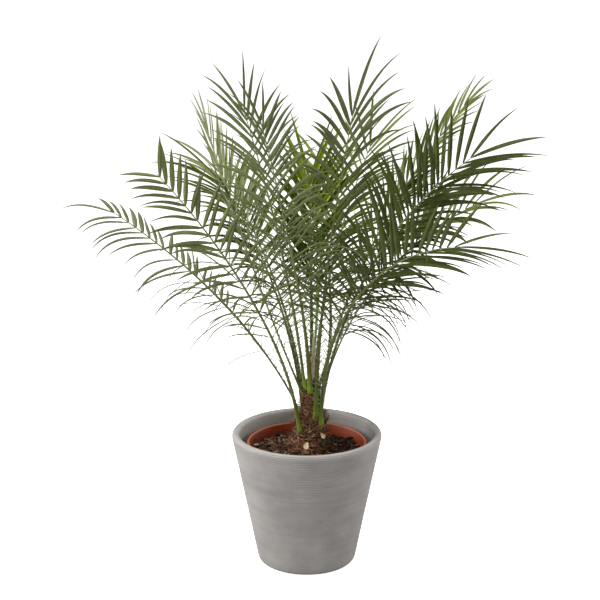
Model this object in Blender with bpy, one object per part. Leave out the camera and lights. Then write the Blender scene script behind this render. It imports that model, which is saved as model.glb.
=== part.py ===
"""Pygmy date palm in its nursery pot, standing inside a tapered grey planter.

The origin is the centre of the planter's flat underside, +Z is up and the front is -Y.
Lengths are metres and angles are degrees.
"""

import math
from collections import namedtuple

import bmesh
import bpy
import numpy as np
from mathutils import Vector
from mathutils.bvhtree import BVHTree

CLEARANCE = 0.0003
GOLDEN_ANGLE = 137.5

# Planter: a cast cone with a round lip, an eased foot and a flat underside.
PLANTER_HEIGHT = 0.2755
PLANTER_TOP_RADIUS = 0.151
PLANTER_SLOPE = 0.1974
PLANTER_WALL = 0.0155
PLANTER_FLOOR = 0.016
PLANTER_FOOT_EASE = 0.016
PLANTER_SIDES = 48

# Nursery pot: thin plastic with a rolled lip, standing on the planter's floor.
NURSERY_RIM_HEIGHT = 0.254
NURSERY_RIM_RADIUS = 0.1205
NURSERY_FOOT_RADIUS = 0.0765
NURSERY_WALL = 0.002
NURSERY_LIP_WIDTH = 0.005
NURSERY_LIP_DROP = 0.012

# Potting mix: fills the nursery pot and rises a little to a flat seat for the trunk.
SOIL_EDGE_HEIGHT = 0.2315
SOIL_HEIGHT = 0.234
SOIL_SEAT_RADIUS = 0.052

# Trunk: swollen foot, quick taper, a slight lean to +X, covered in old leaf bases.
TRUNK_HEIGHT = 0.200
TRUNK_FOOT_X = 0.004
TRUNK_LEAN = 0.055
TRUNK_HEIGHTS = (0.0, 0.020, 0.053, 0.075, 0.090, 0.120, 0.150, 0.180, 0.200)
TRUNK_RADII = (0.043, 0.039, 0.0305, 0.0245, 0.0200, 0.0155, 0.0125, 0.009, 0.005)
TRUNK_SIDES = 32
TRUNK_RINGS = 30
BOOT_COUNT = 17
BOOT_FIRST_AZIMUTH = 262
BOOT_FIRST_HEIGHT = 0.016
BOOT_PITCH = 0.0062
BOOT_SPACE = 28
BOOT_HEIGHT = 0.018
BOOT_CUT = 0.004
BOOT_HALF_WIDTH = 0.009
BOOT_DEPTH = 0.006
BOOT_FLANK = 1.6
BOOT_FULL_RADIUS = 0.020
FOOT_DROP = 0.003

# Frond: a four-sided rib from the petiole's foot to the tip, with leaflets grown from its sides.
PETIOLE_SHARE = 0.35
PAIRS = 22
ROOT_LENGTH = 0.0042
ROOT_FREE = 0.0014
TIP_ROOTS = 2.2
SPINE_POINTS = 61
TURN_SHARE = 0.45
ROLL_START = 0.05
ROLL_SHARE = 0.5
RIB_PLACES = (0.0, 0.03, 0.12, 0.35, 1.0)
RIB_WIDTHS = (0.0115, 0.0086, 0.0068, 0.0050, 0.0018)
RIB_DEPTHS = (0.0052, 0.0050, 0.0047, 0.0040, 0.0017)
PETIOLE_PLACES = (0.0, 0.03, 0.07, 0.13, 0.20, 0.28)
SEAT_SHARES = tuple(0.02 * place for place in range(9))
SEAT_SEARCH = 0.020
SEAT_STEP = 0.00002

# Leaflets by their reach, which is 0 at the lowest pair and 1 at the rib's tip. Angles are
# from the rib, lifts from the frond's plane, and lengths are shares of the frond's own.
REACH_PLACES = (0.0, 0.25, 0.5, 0.75, 0.92, 1.0)
LEAFLET_ANGLES = (66, 60, 53, 44, 35)
ANGLE_SPREADS = (15, 12, 9.5, 7, 6, 4)
LEAFLET_LIFT = 20
LIFT_SPREADS = (22, 18, 14, 10, 8, 6)
LENGTH_SHARES = (0.80, 0.95, 1.02, 1.03, 1.05, 1.08)
LENGTH_SPREAD = 0.07
LEAFLET_WIDTHS = (0.0044, 0.0066, 0.0086, 0.0088, 0.0084, 0.0076)
LEAFLET_DEPTH = 0.0017
LEAFLET_SAGS = (0.052, 0.045, 0.038, 0.032, 0.027, 0.020)
SAG_SPREAD = 0.35
LEAFLET_STEPS = 8
LEAFLET_MIDDLE_STEP = 4
MOST_ROOT_SHARE = 0.6
SEED = 11

Frond = namedtuple(
    "Frond",
    "name foot_azimuth tip_azimuth foot_height foot_lean tip_lean bend length roll"
    " leaflet droop left_share last_share opening tip_angle tint",
    defaults=(1.0, 1.0, 1.0, 16, "green"),
)

# Azimuth 0 is +X and 270 is the front. left_share scales the leaflets on the side towards
# growing azimuth, last_share those at the tip, and tip_angle is the angle of the last pair.
FRONDS = (
    Frond("frond_01", 192, 188, 0.086, 22.5, 54.5, 0.75, 0.572, 95, 0.104, 1.2, 0.42, 0.9, 1.0, 12),
    Frond("frond_02", 236, 207, 0.050, 12.5, 41.5, 0.75, 0.654, 68, 0.124, 0.6, 1.0, 0.56, 1.12, 44),
    Frond("frond_03", 309, 317, 0.062, -2.5, 79.5, 1.0, 0.602, -45, 0.148, 0.5, 1.0, 0.95, 1.0, 8),
    Frond("frond_04", 290, 305, 0.078, 3.5, 17, 0.8, 0.657, -10, 0.116, 0.8, 1.5, 0.86, 0.95, 3),
    Frond("frond_05", 328, 324, 0.092, 8.5, 53, 0.95, 0.676, -55, 0.146, 0.5, 1.0, 1.0, 1.0, 5),
    Frond("frond_06", 258, 245, 0.128, 13, 27, 0.6, 0.639, 0, 0.136, 0.7, 1.0, 0.75, 0.85, 10),
    Frond("frond_07", 215, 216, 0.136, 7, 19.5, 0.8, 0.605, 40, 0.128, 0.7, 1.0, 0.85, 0.85, 8),
    Frond("frond_08", 25, 22, 0.142, 15.5, 44.5, 1.0, 0.637, 25, 0.104, 0.5, 1.0, 0.75, 0.7, 6),
    Frond("frond_09", 100, 95, 0.160, 2, 12, 1.0, 0.400, 0, 0.126, 0.2, opening=0.7, tint="young"),
    Frond("frond_10", 170, 158, 0.118, 23, 18.5, 1.1, 0.562, 0, 0.124, 0.5, 1.0, 0.75, 0.55, 8, "pale"),
    Frond("frond_11", 75, 60, 0.108, 10, 46, 1.0, 0.545, 0, 0.134, 0.7),
    Frond("frond_12", 146, 143, 0.098, 8, 45, 1.0, 0.500, -20, 0.130, 0.7, 1.0, 1.15),
    Frond("frond_13", 352, 361, 0.112, 11, 63, 1.0, 0.520, 20, 0.128, 0.8),
    Frond("frond_14", 52, 94, 0.070, 12, 58, 1.0, 0.550, 0, 0.132, 0.8),
    Frond("frond_15", 112, 124, 0.066, 16, 58, 1.0, 0.560, 0, 0.130, 0.9),
)

# Changes tried in turn when a leaflet meets another: angle, lift and a factor on its length.
LEAFLET_TURNS = (
    (0, 0),
    (0, 9),
    (0, -9),
    (6, 0),
    (-6, 0),
    (5, 14),
    (5, -14),
    (-5, 14),
    (-5, -14),
    (12, 0),
)
LEAFLET_SCALES = (1.0, 0.84, 0.66)

# Strips run from their foot to a point, with widths as shares of the widest. The spear is the
# unopened leaf at the heart, and the dry ones stand among the petioles, just off the trunk.
Strip = namedtuple("Strip", "name look azimuth foot_height lean bend length width thickness")
STRIP_PLACES = (0.0, 0.2, 0.4, 0.6, 0.8)
STRIP_WIDTHS = (0.65, 0.85, 0.95, 0.90, 0.60)
STRIPS = (
    Strip("spear", "young", 15, TRUNK_HEIGHT + CLEARANCE, 3.5, 1.0, 0.300, 0.0065, 0.0050),
    Strip("dry_bract", "bract", 272, 0.152, 6, 1.6, 0.105, 0.0070, 0.0012),
    Strip("dry_stalk", "stalk", 312, 0.150, 5, 1.6, 0.110, 0.0070, 0.0012),
)

COLOURS = {
    "planter": ((0.36, 0.35, 0.33), 0.85),
    "nursery_pot": ((0.40, 0.085, 0.03), 0.45),
    "soil": ((0.055, 0.032, 0.02), 0.95),
    "trunk": ((0.12, 0.055, 0.03), 0.9),
    "green": ((0.075, 0.115, 0.035), 0.45),
    "pale": ((0.16, 0.21, 0.06), 0.45),
    "young": ((0.13, 0.24, 0.02), 0.4),
    "bract": ((0.42, 0.33, 0.20), 0.85),
    "stalk": ((0.14, 0.07, 0.035), 0.85),
}


def clear_scene():
    for item in list(bpy.data.objects):
        bpy.data.objects.remove(item, do_unlink=True)


def give_material(obj, look):
    """Gives the object its own Principled material, in the colour and roughness of that look."""
    colour, roughness = COLOURS[look]
    material = bpy.data.materials.new(obj.name)
    material.use_nodes = True
    shader = material.node_tree.nodes["Principled BSDF"]
    shader.inputs["Base Color"].default_value = (*colour, 1.0)
    shader.inputs["Roughness"].default_value = roughness
    shader.inputs["Metallic"].default_value = 0.0
    material.diffuse_color = (*colour, 1.0)
    obj.data.materials.append(material)


def add_object(name, shape, look, sharp_angle=40):
    """Turns a closed bmesh into a smooth shaded object with its faces pointing out."""
    bmesh.ops.recalc_face_normals(shape, faces=shape.faces[:])
    mesh = bpy.data.meshes.new(name)
    shape.to_mesh(mesh)
    shape.free()
    obj = bpy.data.objects.new(name, mesh)
    bpy.context.scene.collection.objects.link(obj)
    mesh.shade_smooth()
    mesh.set_sharp_from_angle(angle=math.radians(sharp_angle))
    give_material(obj, look)
    return obj


def arc(centre, radius, start, end, steps):
    """Points of an arc in the (r, z) plane, both ends included."""
    angles = np.radians(np.linspace(start, end, steps + 1))
    return [(centre[0] + radius * math.cos(a), centre[1] + radius * math.sin(a)) for a in angles]


def turned(profile, sides):
    """A closed bmesh turned from a profile of (r, z) points that starts and ends on the axis."""
    shape = bmesh.new()
    verts = [shape.verts.new((r, 0.0, z)) for r, z in profile]
    edges = [shape.edges.new(pair) for pair in zip(verts, verts[1:])]
    bmesh.ops.spin(
        shape,
        geom=verts + edges,
        axis=(0, 0, 1),
        cent=(0, 0, 0),
        angle=2 * math.pi,
        steps=sides,
        use_merge=True,
    )
    bmesh.ops.remove_doubles(shape, verts=shape.verts[:], dist=1e-6)
    return shape


def planter_radius(z):
    """Outer radius of the planter's straight wall at height z."""
    return PLANTER_TOP_RADIUS - PLANTER_SLOPE * (PLANTER_HEIGHT - z)


def make_planter():
    """Foot eased by an arc, straight wall, half-round lip, then the inside down to the floor."""
    half = PLANTER_WALL / 2
    tilt = math.degrees(math.atan(PLANTER_SLOPE))
    foot_centre = (planter_radius(PLANTER_FOOT_EASE) - PLANTER_FOOT_EASE, PLANTER_FOOT_EASE)
    lip_centre = (PLANTER_TOP_RADIUS - half, PLANTER_HEIGHT - half)
    inside_foot = planter_radius(PLANTER_FLOOR) - PLANTER_WALL
    profile = [(0.0, 0.0)]
    profile += arc(foot_centre, PLANTER_FOOT_EASE, -90, -tilt, 4)
    profile += arc(lip_centre, half, -tilt, 180 - tilt, 8)
    profile += [(inside_foot, PLANTER_FLOOR), (0.0, PLANTER_FLOOR)]
    return add_object("planter", turned(profile, PLANTER_SIDES), "planter", 30)


def nursery_radius(z):
    """Outer radius of the nursery pot's wall at height z."""
    foot = PLANTER_FLOOR + CLEARANCE
    share = (z - foot) / (NURSERY_RIM_HEIGHT - foot)
    top = NURSERY_RIM_RADIUS - NURSERY_LIP_WIDTH
    return NURSERY_FOOT_RADIUS + (top - NURSERY_FOOT_RADIUS) * share


def make_nursery_pot():
    """Thin tapered wall with a rolled lip turned outwards and down."""
    foot = PLANTER_FLOOR + CLEARANCE
    lip = NURSERY_LIP_WIDTH / 2
    lip_centre = (NURSERY_RIM_RADIUS - lip, NURSERY_RIM_HEIGHT - lip)
    lip_foot = NURSERY_RIM_HEIGHT - NURSERY_LIP_DROP
    floor = foot + NURSERY_WALL
    shoulder = NURSERY_RIM_HEIGHT - NURSERY_LIP_WIDTH / 4
    profile = [(0.0, foot), (nursery_radius(foot), foot)]
    profile += [(nursery_radius(lip_foot), lip_foot), (NURSERY_RIM_RADIUS, lip_foot)]
    profile += arc(lip_centre, lip, 0, 90, 3)
    profile += [(nursery_radius(z) - NURSERY_WALL, z) for z in (shoulder, floor)]
    profile += [(0.0, floor)]
    return add_object("nursery_pot", turned(profile, PLANTER_SIDES), "nursery_pot", 30)


def make_soil():
    """Potting mix: a plug inside the nursery pot, mounded up to the trunk's seat."""
    inset = NURSERY_WALL + CLEARANCE
    foot = PLANTER_FLOOR + 2 * CLEARANCE + NURSERY_WALL
    profile = [(0.0, foot), (nursery_radius(foot) - inset, foot)]
    profile += [(nursery_radius(SOIL_EDGE_HEIGHT) - inset, SOIL_EDGE_HEIGHT)]
    profile += [(0.5 * (SOIL_SEAT_RADIUS + NURSERY_RIM_RADIUS), SOIL_EDGE_HEIGHT + 0.002)]
    profile += [(SOIL_SEAT_RADIUS, SOIL_HEIGHT), (0.0, SOIL_HEIGHT)]
    return add_object("soil", turned(profile, PLANTER_SIDES), "soil", 60)


def trunk_axis(height):
    """Point of the trunk's leaning axis at that height above the soil."""
    return np.array([TRUNK_FOOT_X + TRUNK_LEAN * height, 0.0, SOIL_HEIGHT + CLEARANCE + height])


def plain_radius(height):
    return float(np.interp(height, TRUNK_HEIGHTS, TRUNK_RADII))


def turn_between(azimuth, other):
    """Signed angle from the first azimuth to the other, between -180 and 180."""
    return (other - azimuth + 180) % 360 - 180


def boot_places():
    """Azimuth and cut height of each old leaf base: a rising spiral, and one under each frond's foot."""
    places = [(frond.foot_azimuth, frond.foot_height - FOOT_DROP) for frond in FRONDS]
    for number in range(BOOT_COUNT):
        azimuth = (BOOT_FIRST_AZIMUTH + number * GOLDEN_ANGLE) % 360
        height = BOOT_FIRST_HEIGHT + number * BOOT_PITCH
        near = [frond for frond in FRONDS if abs(turn_between(frond.foot_azimuth, azimuth)) < BOOT_SPACE]
        if all(height < frond.foot_height - 2 * FOOT_DROP for frond in near):
            places.append((azimuth, height))
    return places


def surface_radius(azimuth, height, boots):
    """Trunk radius there: the plain taper plus the boots, each a wedge that swells to its cut top."""
    plain = plain_radius(height)
    swell = 0.0
    for boot_azimuth, cut in boots:
        turn = math.radians(turn_between(boot_azimuth, azimuth))
        across = 1 - abs(turn) * plain_radius(cut) / BOOT_HALF_WIDTH
        rise = (height - cut + BOOT_HEIGHT) / BOOT_HEIGHT
        if height > cut:
            rise = 1 - (height - cut) / BOOT_CUT
        if across > 0 and 0 < rise <= 1:
            swell = max(swell, BOOT_DEPTH * min(1, BOOT_FLANK * across) * rise)
    return plain + swell * min(1.0, plain / BOOT_FULL_RADIUS)


def make_trunk():
    """Rings of the surface function from the flat cut on the soil to a closed tip."""
    boots = boot_places()
    shape = bmesh.new()
    rings = []
    for ring in range(TRUNK_RINGS + 1):
        height = TRUNK_HEIGHT * ring / TRUNK_RINGS
        centre = trunk_axis(height)
        row = []
        for side in range(TRUNK_SIDES):
            azimuth = 360 * side / TRUNK_SIDES
            radius = surface_radius(azimuth, height, boots)
            turn = math.radians(azimuth)
            row.append(shape.verts.new(centre + radius * np.array([math.cos(turn), math.sin(turn), 0])))
        rings.append(row)
    for low, high in zip(rings, rings[1:]):
        for side in range(TRUNK_SIDES):
            after = (side + 1) % TRUNK_SIDES
            shape.faces.new((low[side], low[after], high[after], high[side]))
    shape.faces.new(rings[0])
    shape.faces.new(rings[-1])
    bmesh.ops.triangulate(shape, faces=shape.faces[:])
    return add_object("trunk", shape, "trunk", 50)


def tree_of(obj):
    """A search tree of the object's faces."""
    corners = [vert.co.copy() for vert in obj.data.vertices]
    return BVHTree.FromPolygons(corners, [tuple(face.vertices) for face in obj.data.polygons])


def smooth(share):
    share = np.clip(share, 0.0, 1.0)
    return share * share * (3 - 2 * share)


class Spine:
    """Centreline of one frond: points, directions, side and face vectors at any share of its length."""

    def __init__(self, frond, foot_distance):
        self.share = np.linspace(0, 1, SPINE_POINTS)
        lean = frond.foot_lean + (frond.tip_lean - frond.foot_lean) * self.share**frond.bend
        lean = np.radians(lean)
        turned_by = (frond.tip_azimuth - frond.foot_azimuth) * smooth(self.share / TURN_SHARE)
        azimuth = np.radians(frond.foot_azimuth + turned_by)
        across = np.cos(azimuth), np.sin(azimuth)
        self.along = np.stack([np.sin(lean) * across[0], np.sin(lean) * across[1], np.cos(lean)], 1)
        side = np.stack([-across[1], across[0], 0 * azimuth], 1)
        face = np.stack([-np.cos(lean) * across[0], -np.cos(lean) * across[1], np.sin(lean)], 1)
        roll = np.radians(frond.roll * smooth((self.share - ROLL_START) / ROLL_SHARE))[:, None]
        self.side = np.cos(roll) * side + np.sin(roll) * face
        self.face = np.cos(roll) * face - np.sin(roll) * side
        outward = np.array([across[0][0], across[1][0], 0.0])
        foot = trunk_axis(frond.foot_height) + foot_distance * outward
        steps = (self.along[1:] + self.along[:-1]) / 2 * frond.length / (SPINE_POINTS - 1)
        self.point = np.concatenate([[foot], foot + np.cumsum(steps, 0)])

    def at(self, share):
        rows = (self.point, self.along, self.side, self.face)
        return [np.array([np.interp(share, self.share, row[:, axis]) for axis in range(3)]) for row in rows]

    def ring(self, share):
        """Corners of the rib there: left and right of the face, then right and left of the back."""
        point, _, side, face = self.at(share)
        half_width = side * np.interp(share, RIB_PLACES, RIB_WIDTHS) / 2
        half_depth = face * np.interp(share, RIB_PLACES, RIB_DEPTHS) / 2
        return [
            point + half_width + half_depth,
            point - half_width + half_depth,
            point - half_width - half_depth,
            point + half_width - half_depth,
        ]


def station_shares(frond):
    """Share of the length at the middle of each leaflet pair, evenly spaced up to the tip."""
    last = 1 - TIP_ROOTS * ROOT_LENGTH / frond.length
    return np.linspace(PETIOLE_SHARE, last, PAIRS)


def ring_shares(frond):
    half = ROOT_LENGTH / 2 / frond.length
    shares = list(PETIOLE_PLACES)
    for station in station_shares(frond):
        shares += [station - half, station + half]
    return shares + [1.0]


def ring_tree(rings):
    """Search tree of the skin through rings of four corners, and those corners."""
    corners = [Vector(corner) for ring in rings for corner in ring]
    faces = []
    for low in range(0, len(corners) - 4, 4):
        for corner in range(4):
            after = (corner + 1) % 4
            faces.append((low + corner, low + after, low + 4 + after, low + 4 + corner))
    return BVHTree.FromPolygons(corners, faces), corners


def seat_distance(rings_at, foot_height, trunk, trunk_tree):
    """Distance of a foot from the trunk's axis that leaves its piece just clear of the trunk.

    rings_at gives the piece's rings of corners for a distance that is tried.
    """
    low = plain_radius(foot_height)
    high = low + SEAT_SEARCH
    lowest = SOIL_HEIGHT + foot_height - BOOT_HEIGHT
    trunk_points = [vert.co for vert in trunk.data.vertices if vert.co.z > lowest]
    while high - low > SEAT_STEP:
        middle = (low + high) / 2
        tree, corners = ring_tree(rings_at(middle))
        gaps = [trunk_tree.find_nearest(corner)[3] for corner in corners]
        gaps += [tree.find_nearest(point)[3] for point in trunk_points]
        if tree.overlap(trunk_tree) or min(gaps) < CLEARANCE:
            low = middle
        else:
            high = middle
    return high


def root_corners(low, high, hand):
    """The four corners of the rib's side between two rings, where a leaflet grows from."""
    front, back = (1, 2) if hand < 0 else (0, 3)
    return low[front], high[front], high[back], low[back]


def by_reach(reach, values):
    return float(np.interp(reach, REACH_PLACES, values))


def leaflet_length(frond, reach, hand, draw):
    length = frond.leaflet * by_reach(reach, LENGTH_SHARES) * (1 + LENGTH_SPREAD * draw)
    length *= 1 + (frond.last_share - 1) * reach**2
    return length * frond.left_share if hand > 0 else length


def leaflet_shape(frond, spine, station, hand, draw, change):
    """Corners of one leaflet: its middle's two edges and keel, its tip, and its free share.

    It sets off at an angle to the rib, lifted out of the frond's plane, and sags with each step.
    """
    turn, lift_change, scale = change
    reach = (station - PETIOLE_SHARE) / (1 - PETIOLE_SHARE)
    point, along, side, face = spine.at(station)
    angle = by_reach(reach, (*LEAFLET_ANGLES, frond.tip_angle)) + draw[0] * by_reach(reach, ANGLE_SPREADS)
    angle = math.radians(angle * frond.opening + turn)
    lift = math.radians(LEAFLET_LIFT + draw[1] * by_reach(reach, LIFT_SPREADS) + lift_change)
    length = leaflet_length(frond, reach, hand, draw[2]) * scale
    outward = hand * math.cos(lift) * side + math.sin(lift) * face
    heading = math.cos(angle) * along + math.sin(angle) * outward
    sag = by_reach(reach, LEAFLET_SAGS) * frond.droop * (1 + SAG_SPREAD * draw[3])
    points = [point]
    for step in range(LEAFLET_STEPS):
        heading = heading - np.array([0, 0, sag * step])
        heading /= np.linalg.norm(heading)
        points.append(points[-1] + heading * length / LEAFLET_STEPS)
    middle, tip = points[LEAFLET_MIDDLE_STEP], points[-1]
    chord = (tip - point) / np.linalg.norm(tip - point)
    blade_face = face - chord * (face @ chord)
    blade_face /= np.linalg.norm(blade_face)
    across = np.cross(chord, blade_face)
    if across @ along < 0:
        across = -across
    half_width = across * by_reach(reach, LEAFLET_WIDTHS) / 2
    keel = middle - blade_face * LEAFLET_DEPTH
    free = (np.interp(station, RIB_PLACES, RIB_WIDTHS) / 2 + ROOT_FREE) / math.sin(angle)
    free_share = min(MOST_ROOT_SHARE, free / np.linalg.norm(middle - point))
    return middle - half_width, middle + half_width, keel, tip, free_share


def leaflet_tree(root, leaflet, margin):
    """Search tree and box of a leaflet's skin beyond its free share, both grown by the margin."""
    near, far, keel, tip, free_share = leaflet
    unit = (far - near) / np.linalg.norm(far - near)
    down = keel - (near + far) / 2
    down /= np.linalg.norm(down)
    pushes = [margin * push for push in (-unit - down, unit - down, unit + down, down - unit)]
    middle = [near, far, keel, keel]
    start = [corner + free_share * (end - corner) for corner, end in zip(root, middle)]
    rings = [corner + push for ring in (start, middle) for corner, push in zip(ring, pushes)]
    along = (tip - keel) / np.linalg.norm(tip - keel)
    corners = np.array(rings + [tip + along * margin])
    faces = []
    for side in range(4):
        after = (side + 1) % 4
        faces += [(side, after, 4 + after), (side, 4 + after, 4 + side), (4 + side, 4 + after, 8)]
    box = corners.min(0), corners.max(0)
    return BVHTree.FromPolygons([Vector(corner) for corner in corners], faces), box


class Crown:
    """Everything already placed, with boxes for a quick first test."""

    def __init__(self):
        self.trees, self.lows, self.highs = [], [], []

    def add(self, tree, box):
        self.trees.append(tree)
        self.lows.append(box[0])
        self.highs.append(box[1])

    def meets(self, tree, box):
        near = (np.array(self.lows) <= box[1]).all(1) & (np.array(self.highs) >= box[0]).all(1)
        return any(self.trees[number].overlap(tree) for number in np.flatnonzero(near))


def choose_leaflets(frond, spine, crown, random):
    """The leaflets of one frond that find a free place, as a dictionary by station and hand."""
    tries = [(*turns, scale) for scale in LEAFLET_SCALES for turns in LEAFLET_TURNS]
    half = ROOT_LENGTH / 2 / frond.length
    chosen = {}
    for number, station in enumerate(station_shares(frond)):
        low, high = spine.ring(station - half), spine.ring(station + half)
        for hand in (1, -1):
            root = root_corners(low, high, hand)
            draw = random.uniform(-1, 1, 4)
            for change in tries:
                leaflet = leaflet_shape(frond, spine, station, hand, draw, change)
                if not crown.meets(*leaflet_tree(root, leaflet, 2 * CLEARANCE)):
                    crown.add(*leaflet_tree(root, leaflet, 0.0))
                    chosen[number, hand] = leaflet
                    break
    return chosen


def grow_leaflet(shape, root, leaflet):
    """Ten faces from the rib's side: a keeled blade, widest at its middle, running out to a point."""
    face_low, face_high, back_high, back_low = root
    near, far, keel, end = [shape.verts.new(corner) for corner in leaflet[:4]]
    for corners in (
        (face_low, face_high, far),
        (face_low, far, near),
        (back_low, face_low, near),
        (back_low, near, keel),
        (back_high, back_low, keel),
        (back_high, keel, far),
        (face_high, back_high, far),
        (near, far, end),
        (keel, near, end),
        (far, keel, end),
    ):
        shape.faces.new(corners)


def make_frond(frond, spine, chosen):
    """Rib and leaflets stitched into one skin, with no seam between them."""
    shape = bmesh.new()
    shares = ring_shares(frond)
    rings = [[shape.verts.new(corner) for corner in spine.ring(share)] for share in shares]
    first_station = len(PETIOLE_PLACES)
    for ring, (low, high) in enumerate(zip(rings, rings[1:])):
        number, between = divmod(ring - first_station, 2)
        for corner in range(4):
            after = (corner + 1) % 4
            hand = {1: -1, 3: 1}.get(corner, 0)
            if not between and (number, hand) in chosen:
                grow_leaflet(shape, root_corners(low, high, hand), chosen[number, hand])
            else:
                shape.faces.new((low[corner], low[after], high[after], high[corner]))
    shape.faces.new(rings[0])
    shape.faces.new(rings[-1])
    bmesh.ops.triangulate(shape, faces=shape.faces[:])
    return add_object(frond.name, shape, frond.tint, 60)


def strip_rings(given, distance):
    """Flat diamond sections of a strip that leans outwards, and the point that it ends in."""
    turn = math.radians(given.azimuth)
    outward = np.array([math.cos(turn), math.sin(turn), 0.0])
    across = np.array([-math.sin(turn), math.cos(turn), 0.0])
    tilt = math.tan(math.radians(given.lean))
    foot = trunk_axis(given.foot_height) + outward * distance

    def centre(place):
        return foot + (outward * tilt * place**given.bend + np.array([0, 0, place])) * given.length

    rings = []
    for place, width in zip(STRIP_PLACES, STRIP_WIDTHS):
        half_width = across * given.width * width / 2
        half_depth = outward * given.thickness / 2
        offsets = (half_width, half_depth, -half_width, -half_depth)
        rings.append([centre(place) + offset for offset in offsets])
    return rings, centre(1.0)


def make_strip(given, trunk, trunk_tree):
    """A closed strip, standing on the trunk's tip or with its foot against the trunk's side."""
    distance = 0.0
    if given.foot_height < TRUNK_HEIGHT:

        def rings_at(tried):
            return strip_rings(given, tried)[0]

        distance = seat_distance(rings_at, given.foot_height, trunk, trunk_tree)
    corners, point = strip_rings(given, distance)
    shape = bmesh.new()
    rings = [[shape.verts.new(corner) for corner in ring] for ring in corners]
    end = shape.verts.new(point)
    for low, high in zip(rings, rings[1:]):
        for corner in range(4):
            after = (corner + 1) % 4
            shape.faces.new((low[corner], low[after], high[after], high[corner]))
    for corner in range(4):
        shape.faces.new((rings[-1][corner], rings[-1][(corner + 1) % 4], end))
    shape.faces.new(rings[0])
    bmesh.ops.triangulate(shape, faces=shape.faces[:])
    return add_object(given.name, shape, given.look, 60)


def seated_spine(frond, trunk, trunk_tree):
    """Spine of the frond with its foot against the trunk."""

    def rings_at(distance):
        spine = Spine(frond, distance)
        return [spine.ring(share) for share in SEAT_SHARES]

    return Spine(frond, seat_distance(rings_at, frond.foot_height, trunk, trunk_tree))


def main():
    clear_scene()
    make_planter()
    make_nursery_pot()
    make_soil()
    trunk = make_trunk()
    trunk_tree = tree_of(trunk)
    crown = Crown()
    for given in STRIPS:
        obj = make_strip(given, trunk, trunk_tree)
        corners = np.array([vert.co for vert in obj.data.vertices])
        crown.add(tree_of(obj), (corners.min(0), corners.max(0)))
    spines = {}
    for frond in FRONDS:
        spine = seated_spine(frond, trunk, trunk_tree)
        tree, corners = ring_tree([spine.ring(share) for share in ring_shares(frond)])
        crown.add(tree, (np.min(corners, 0), np.max(corners, 0)))
        spines[frond.name] = spine
    for number, frond in enumerate(FRONDS):
        random = np.random.default_rng(SEED + number)
        chosen = choose_leaflets(frond, spines[frond.name], crown, random)
        make_frond(frond, spines[frond.name], chosen)


main()
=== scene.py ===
"""Looks of a pygmy date palm in its nursery pot, inside a tapered grey planter.

Each section makes one piece or one group of like pieces, in the order in which they are put
together. Lengths are metres, angles are degrees and azimuth 270 is the front.
"""

import math
from collections import namedtuple

import bpy
import numpy as np
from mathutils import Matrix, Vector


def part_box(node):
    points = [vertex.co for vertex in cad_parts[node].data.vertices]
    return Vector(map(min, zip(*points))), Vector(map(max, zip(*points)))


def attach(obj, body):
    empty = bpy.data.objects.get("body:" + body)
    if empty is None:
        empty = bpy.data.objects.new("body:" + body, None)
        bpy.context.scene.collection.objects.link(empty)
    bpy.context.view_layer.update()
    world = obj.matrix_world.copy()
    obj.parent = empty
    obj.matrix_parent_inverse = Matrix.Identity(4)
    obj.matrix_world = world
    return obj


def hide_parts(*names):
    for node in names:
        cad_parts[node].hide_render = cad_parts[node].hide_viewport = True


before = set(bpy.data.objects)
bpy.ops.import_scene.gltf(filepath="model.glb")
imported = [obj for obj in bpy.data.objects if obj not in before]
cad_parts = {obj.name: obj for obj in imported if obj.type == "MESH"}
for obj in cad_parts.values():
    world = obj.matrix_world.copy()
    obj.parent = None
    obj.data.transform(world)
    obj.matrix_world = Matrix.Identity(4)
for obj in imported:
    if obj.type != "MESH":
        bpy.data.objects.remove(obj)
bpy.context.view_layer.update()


# Planter: a tapered pot cast in a grey mineral mix. Its mould left fine level rings on the wall,
# a round lip and an eased foot. It stands loose on its flat underside. Its colour has a painted
# highlight on the lip and painted light and shade on the inside.
PLANTER_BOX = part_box("planter")
PLANTER_HEIGHT = PLANTER_BOX[1].z
PLANTER_RADIUS = PLANTER_BOX[1].x
PLANTER_SLOPE = 0.1974
PLANTER_WALL = 0.0155
PLANTER_FLOOR = 0.016
PLANTER_FOOT_EASE = 0.016
PLANTER_SIDES = 180
RING_PITCH = 0.0038
PLANTER_LIGHT = (0.280, 0.264, 0.249, 1)
PLANTER_DARK = (0.214, 0.202, 0.190, 1)
PIT_COLOUR = (0.15, 0.14, 0.13, 1)
RING_FRONT = 1.7
RING_SIDES = 0.7
RING_SHADES = (0.74, 1.12)
LIP_PAINTED_HIGHLIGHT = 1.24
# Painted light and shade inside the planter: its slope across the plan, its mean and the depths
# where it sets in.
INSIDE_PAINTED_LIGHT_SLOPE = (-1.7, 3.0, 0)
INSIDE_PAINTED_LIGHT_TONE = 1.03
INSIDE_DEPTHS = (0.006, 0.013)
AXIS_HOLE = 0.002


def add_node(tree, kind, inputs, **settings):
    """Adds a shader node. Each input is named or numbered, and is a value or another's output."""
    made = tree.nodes.new("ShaderNode" + kind)
    for name, value in settings.items():
        setattr(made, name, value)
    for name, value in inputs.items():
        if isinstance(value, bpy.types.NodeSocket):
            tree.links.new(value, made.inputs[name])
        else:
            made.inputs[name].default_value = value
    return made


def mixed(tree, factor, first, second, blend="MIX"):
    """The colour between two others."""
    inputs = {0: factor, 6: first, 7: second}
    return add_node(tree, "Mix", inputs, data_type="RGBA", blend_type=blend).outputs[2]


def shaded(tree, colour, shade, share=1.0):
    """A colour multiplied by a shade, wholly or in part."""
    return mixed(tree, share, colour, shade, "MULTIPLY")


def maths(tree, operation, *values):
    """The result of one sum, product or other working of values."""
    return add_node(tree, "Math", dict(enumerate(values)), operation=operation).outputs[0]


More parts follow.
